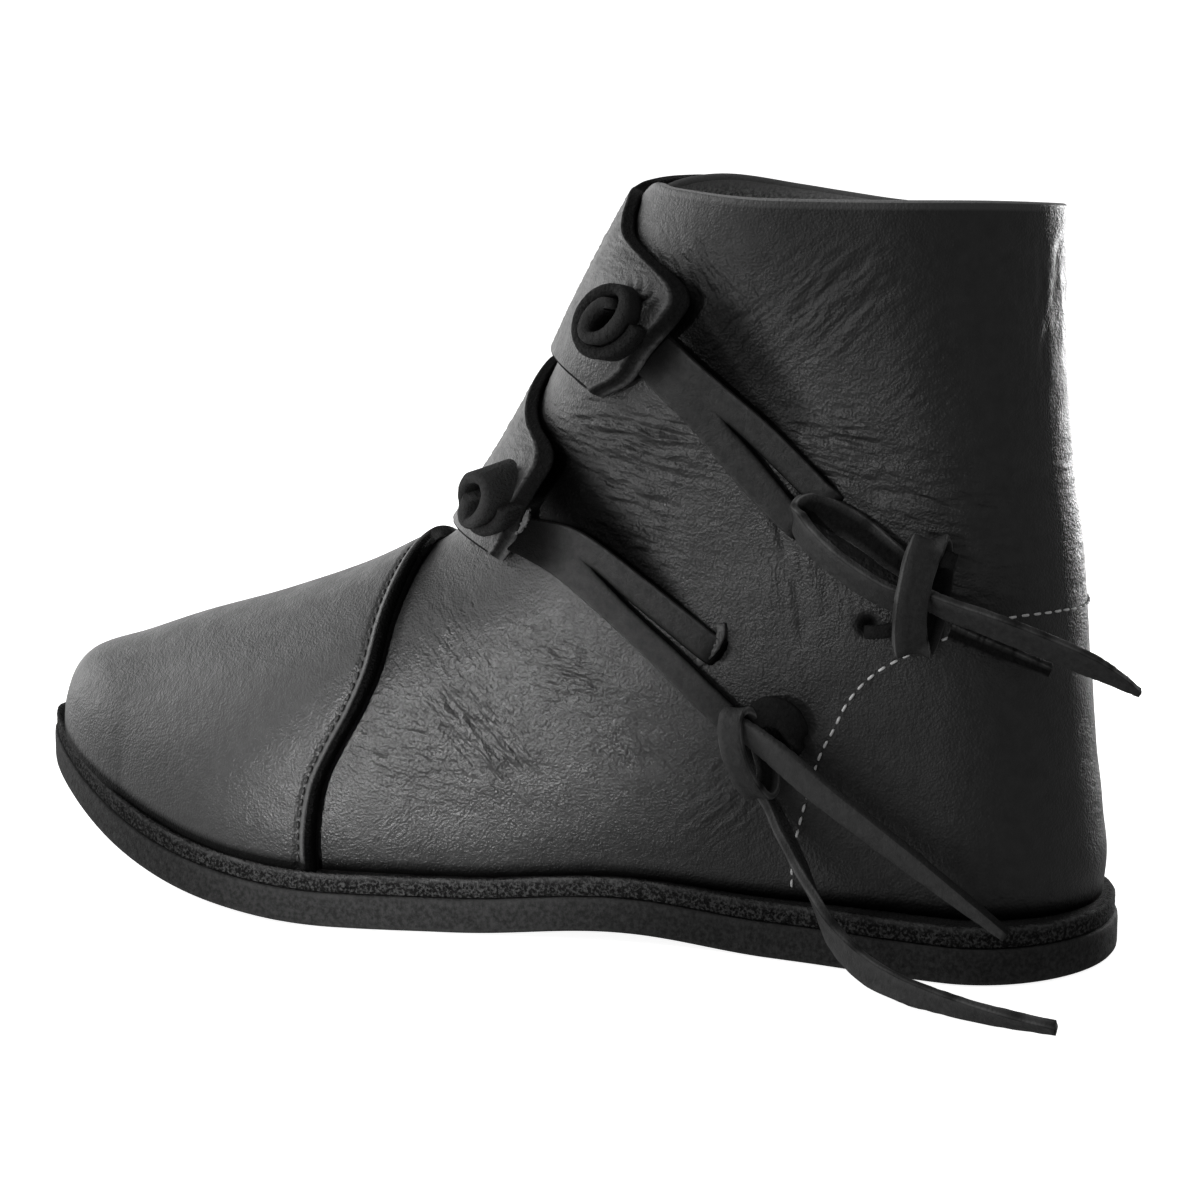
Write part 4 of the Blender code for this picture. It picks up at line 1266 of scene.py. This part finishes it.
def build_ring(name, node, middle, reach, run, wide):
    """Closed wrap of strap that binds the loose ends."""
    turn = np.arange(WRAP_STEPS) * 2 * math.pi / WRAP_STEPS
    points = place(
        middle[0] + reach[0] * np.cos(turn),
        middle[1] + reach[1] * np.cos(turn) + reach[2] * np.sin(turn),
        middle[2] + reach[3] * np.sin(turn),
    )
    sides = np.array((run[0], -run[1], run[2]), float) * np.ones((WRAP_STEPS, 1))
    widths = np.full(WRAP_STEPS, wide)
    piece = sweep(name, points, sides, widths, STRAP_THICK, [THONG, EDGE, EDGE], closed=True)
    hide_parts(node)
    return piece


def build_toggle(name, node, foot, lean, long, turns, start, strip, core, oval):
    """Strip of leather rolled up into a short toggle that stands on its flap."""
    level, angle = on_side(*foot)
    base = face(level, angle, FLAP_THICK + TOGGLE_STAND)
    axis = unit(np.array((1.0, -lean[0], lean[1])))
    up = unit(np.array((0.0, 0.0, 1.0)) - axis[2] * axis)
    side = np.cross(up, axis)
    share = np.linspace(0, 1, TOGGLE_STEPS)
    turn = share * turns * 2 * math.pi + start
    radius = core + (strip + TOGGLE_GAP) * share * turns + strip / 2
    slant = unit(up + 0.8 * side)
    flat = np.cross(slant, axis)
    round_share = smooth(share * 1.2)
    tall = oval + (TOGGLE_TALL - oval) * round_share
    out = np.cos(turn)[:, None] * flat * (0.82 + 0.18 * round_share)[:, None]
    out = out + np.sin(turn)[:, None] * slant * tall[:, None]
    inner_turn = 1 - smooth((share * turns - 0.8) * 3)
    stand_out = 3.0 * inner_turn - 1.4
    points = base + out * radius[:, None] + axis * (long / 2 - 1.5 + stand_out / 2)[:, None]
    widths = long + 3.0 + stand_out
    sides = axis * np.ones((TOGGLE_STEPS, 1))
    # The rolled strip is lighter at its core, and its outer turns are kept darker as painted shade
    tone = 0.85 * inner_turn + 0.1
    piece = sweep(name, points, sides, widths, strip, [ROLL] * 3, grit=TOGGLE_GRIT, tone=tone)
    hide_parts(node)
    return piece


def stitches(name, levels, angles, size, offset, made):
    """Row of thread stitches along a line on the upper, as one mesh."""
    pitch, long, radius = size
    points = face(levels, angles, offset)
    run = distances(points)
    sides, rings = STITCH_MESH
    turn = np.arange(sides) * 2 * math.pi / sides
    body, faces = [], []
    for start in np.arange(pitch / 2, run[-1] - long, pitch):
        where = np.linspace(start, start + long, rings)
        level = np.interp(where, run, levels)
        angle = np.interp(where, run, angles)
        t = np.linspace(-1, 1, rings)
        line = face(level, angle, offset + radius * (0.7 - 1.6 * t**4))
        ways = unit(np.gradient(line, axis=0))
        out = unit(face(level, angle, 1.0) - face(level, angle, 0.0))
        out = unit(out - np.sum(out * ways, axis=1, keepdims=True) * ways)
        across = np.cross(ways, out)
        thick = radius * np.sqrt(1 - 0.85 * t**4)
        base = len(body) * sides * rings
        loop = out[:, None] * np.cos(turn)[None, :, None] * STITCH_FLAT
        loop = loop + across[:, None] * np.sin(turn)[None, :, None]
        body.append(line[:, None] + loop * thick[:, None, None])
        faces += grid_faces(rings, sides, True, base)
        for end in (base, base + (rings - 1) * sides):
            faces.append(tuple(range(end, end + sides)))
    return add_piece(name, np.concatenate(body).reshape(-1, 3), faces, [made])


build_upper()
build_flap("flap_upper_leather", FLAP_UPPER_ROWS, FLAP_UPPER_ROOT)
build_flap("flap_lower_leather", FLAP_LOWER_ROWS, FLAP_LOWER_ROOT)
build_cap()
build_sole_layer(
    "outsole_rubber", "outsole", OUTSOLE_PROFILE, 0.0,
    [RUBBER, RUBBER], OUTSOLE_COLUMNS, OUTSOLE_ROUGH,
)
build_sole_layer(
    "midsole_fibre", "midsole", MIDSOLE_PROFILE, MIDSOLE_INSET,
    # The midsole's top face takes the dark rolled-toggle finish as painted shade on the ledge
    [FIBRE, ROLL], MIDSOLE_COLUMNS, MIDSOLE_ROUGH,
)
build_insole()
build_toggle("toggle_upper_roll", "toggle_upper", **TOGGLE_UPPER)
build_toggle("toggle_lower_roll", "toggle_lower", **TOGGLE_LOWER)
for label, node, rows, slit_below in (
    ("thong_upper_top", "thong_upper", UPPER_TOP_STRAND, True),
    ("thong_upper_low", "thong_upper", UPPER_LOW_STRAND, False),
    ("thong_lower_top", "thong_lower", LOWER_TOP_STRAND, True),
    ("thong_lower_low", "thong_lower", LOWER_LOW_STRAND, False),
):
    strand = build_strand(label, rows, slit_below)
    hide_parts(node)
build_cord("bow_loop", "bow_upper", BOW_UPPER, -1)
build_cord("tail_upper_long_strap", "tail_upper_long", TAIL_UPPER_LONG, 1)
build_cord("tail_upper_short_strap", "tail_upper_short", TAIL_UPPER_SHORT, -1)
build_cord("tail_lower_back_strap", "tail_lower_back", TAIL_LOWER_BACK, 1, (0.6, 0.05))
build_cord("tail_lower_floor_strap", "tail_lower_floor", TAIL_LOWER_FLOOR, 1)
build_ring("knot_upper_wrap", "knot_upper", **RING_UPPER)
build_ring("knot_lower_wrap", "knot_lower", **RING_LOWER)
for label, node, rows in (
    ("knot_lower_loop", "knot_lower", LOOP_LOWER),
    ("knot_upper_stub", "knot_upper", STUB_UPPER),
    ("knot_upper_root", "knot_upper", STUB_HOLE),
):
    tones = np.full(STUB_STEPS, STUB_TONE)
    bit = sweep(label, *route(rows, STUB_STEPS), STRAP_THICK, [EDGE, EDGE, EDGE], tone=tones)
    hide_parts(node)
build_lip("slot_lip_0", SLOT_LIP, *SLOT_LIP_SIZE, LEATHER, SLOT_LIP_WEAR, False)
build_lip("tab_fray", TAB_FRAY, *TAB_FRAY_SIZE, FLESH, TAB_FRAY_WEAR, True)

seam = row_curves(LINE_COLUMNS, COUNTER_SEAM)
share = np.linspace(0, len(COUNTER_SEAM) - 1, SEAM_STEPS)
seam_level, seam_angle = on_side(seam["station"](share), seam["height"](share))
seam_level = np.concatenate([seam_level, seam_level[::-1]])
seam_angle = np.concatenate([seam_angle, -seam_angle[::-1]])
stitches("counter_stitches", seam_level, seam_angle, COUNTER_STITCH, COUNTER_STITCH_LIFT, THREAD)
cap_level = np.linspace(FEATHER + CAP_STITCH_ENDS[0], CAP_TOP - CAP_STITCH_ENDS[1], CAP_SEAM_STEPS)
cap_angle = angle_at(cap_level, CAP["edge"](cap_level) + CAP_SEAM / CAP_SLANT)
cap_top = CAP_BOTTOM + CAP_THICK - CAP_STITCH_SUNK
for side, angle in (("outer", cap_angle), ("inner", 360.0 - cap_angle)):
    stitches(f"cap_stitches_{side}", cap_level, angle, CAP_STITCH, cap_top, CAP_THREAD)

# Studio: a pale floor and backdrop, a world that is brighter on the toe's side, soft lights and two beams
FLOOR_SIZE = 16.0
FLOOR_HEIGHT = -0.0003
FLOOR_GLOW = 0.9
BACKDROP_RADIUS = 7.0
BACKDROP_GLOW = 1.0
TOE_SIDE = (0.20, -0.97, 0.10)
WORLD_GLOW = (0.22, 0.96)
WORLD_BAND = (0.2, 0.9)
BEAM_SOURCE = 0.015

# Lights: place and aim in metres, then size and power, or width in degrees and power for a beam
SOFT_LIGHTS = {
    "key_light": ((0.42, -1.0, 0.80), (0, -0.02, 0.08), 0.32, 2.4),
    "toe_light": ((-0.30, -1.15, 0.32), (0, -0.1, 0.06), 0.6, 3.8),
    "rear_light": ((-1.2, -1.1, 0.45), (0, 0, 0.1), 1.1, 4.6),
    "rim_light": ((-1.2, 0.42, 0.22), (0, 0.1, 0.1), 0.5, 12.0),
}
BEAM_LIGHTS = {
    "vamp_light": ((1.20, -0.30, 0.05), (0.035, -0.025, 0.045), 7.6, 78.0),
    "quarter_light": ((1.20, -0.30, 0.25), (0.03, 0.048, 0.112), 6.4, 25.0),
}
CAMERA_PLACE = (0.65748, 0.21864, 0.206)
CAMERA_AIM = (0.00023, 0, 0.095)
CAMERA_LENS = 83.56
CAMERA_SENSOR = 36.0
CAMERA_SHIFT = (0.0459, -0.0578)


def plain_white(name, glow):
    """Pale matt finish of the floor and the backdrop."""
    made = bpy.data.materials.new(name)
    made.use_nodes = True
    tree = made.node_tree
    shader = tree.nodes["Principled BSDF"]
    where = tree.nodes.new("ShaderNodeTexCoord").outputs["Object"]
    cloud = texture(tree, "Noise", 3.0, where).outputs["Fac"]
    link(tree, mixed(tree, (0.88,) * 3, (0.92,) * 3, cloud), shader.inputs["Base Color"])
    fill(shader, {"Roughness": 0.9, "Specular IOR Level": 0.1})
    fill(shader, {"Emission Color": (1, 1, 1, 1), "Emission Strength": glow})
    return made


floor_place = (0, 0, FLOOR_HEIGHT)
bpy.ops.mesh.primitive_grid_add(x_subdivisions=8, y_subdivisions=8, size=FLOOR_SIZE, location=floor_place)
floor = bpy.context.object
floor.name = "floor"
floor.data.materials.append(plain_white("pale_floor", FLOOR_GLOW))
bpy.ops.mesh.primitive_uv_sphere_add(segments=48, ring_count=24, radius=BACKDROP_RADIUS)
backdrop = bpy.context.object
backdrop.name = "backdrop"
backdrop.data.materials.append(plain_white("pale_backdrop", BACKDROP_GLOW))
for stage in (floor, backdrop):
    stage.visible_diffuse = False
    stage.visible_glossy = False
backdrop.visible_shadow = False

world = bpy.data.worlds.new("studio")
bpy.context.scene.world = world
world.use_nodes = True
sky = world.node_tree
toward = sky.nodes.new("ShaderNodeVectorMath")
toward.operation = "DOT_PRODUCT"
toward.inputs[1].default_value = TOE_SIDE
link(sky, sky.nodes.new("ShaderNodeTexCoord").outputs["Generated"], toward.inputs[0])
glow = spread(sky, toward.outputs["Value"], *WORLD_GLOW, *WORLD_BAND)
sky.nodes["Background"].inputs["Color"].default_value = (1, 1, 1, 1)
link(sky, glow, sky.nodes["Background"].inputs["Strength"])


def look(thing, place_at, aim):
    """Put a light or the camera at a place, with its front to a point."""
    thing.location = place_at
    thing.rotation_euler = (Vector(aim) - Vector(place_at)).to_track_quat("-Z", "Y").to_euler()
    bpy.context.scene.collection.objects.link(thing)


for name, (place_at, aim, size, power) in SOFT_LIGHTS.items():
    data = bpy.data.lights.new(name, "AREA")
    data.shape = "SQUARE"
    data.size = size
    data.energy = power
    look(bpy.data.objects.new(name, data), place_at, aim)
for name, (place_at, aim, wide, power) in BEAM_LIGHTS.items():
    data = bpy.data.lights.new(name, "SPOT")
    data.energy = power
    data.spot_size = math.radians(wide)
    data.spot_blend = 1.0
    data.shadow_soft_size = BEAM_SOURCE
    look(bpy.data.objects.new(name, data), place_at, aim)

camera_data = bpy.data.cameras.new("camera")
camera_data.sensor_width = CAMERA_SENSOR
camera_data.lens = CAMERA_LENS
camera_data.shift_x, camera_data.shift_y = CAMERA_SHIFT
camera = bpy.data.objects.new("camera", camera_data)
look(camera, CAMERA_PLACE, CAMERA_AIM)
bpy.context.scene.camera = camera
bpy.context.scene.view_settings.view_transform = "Standard"
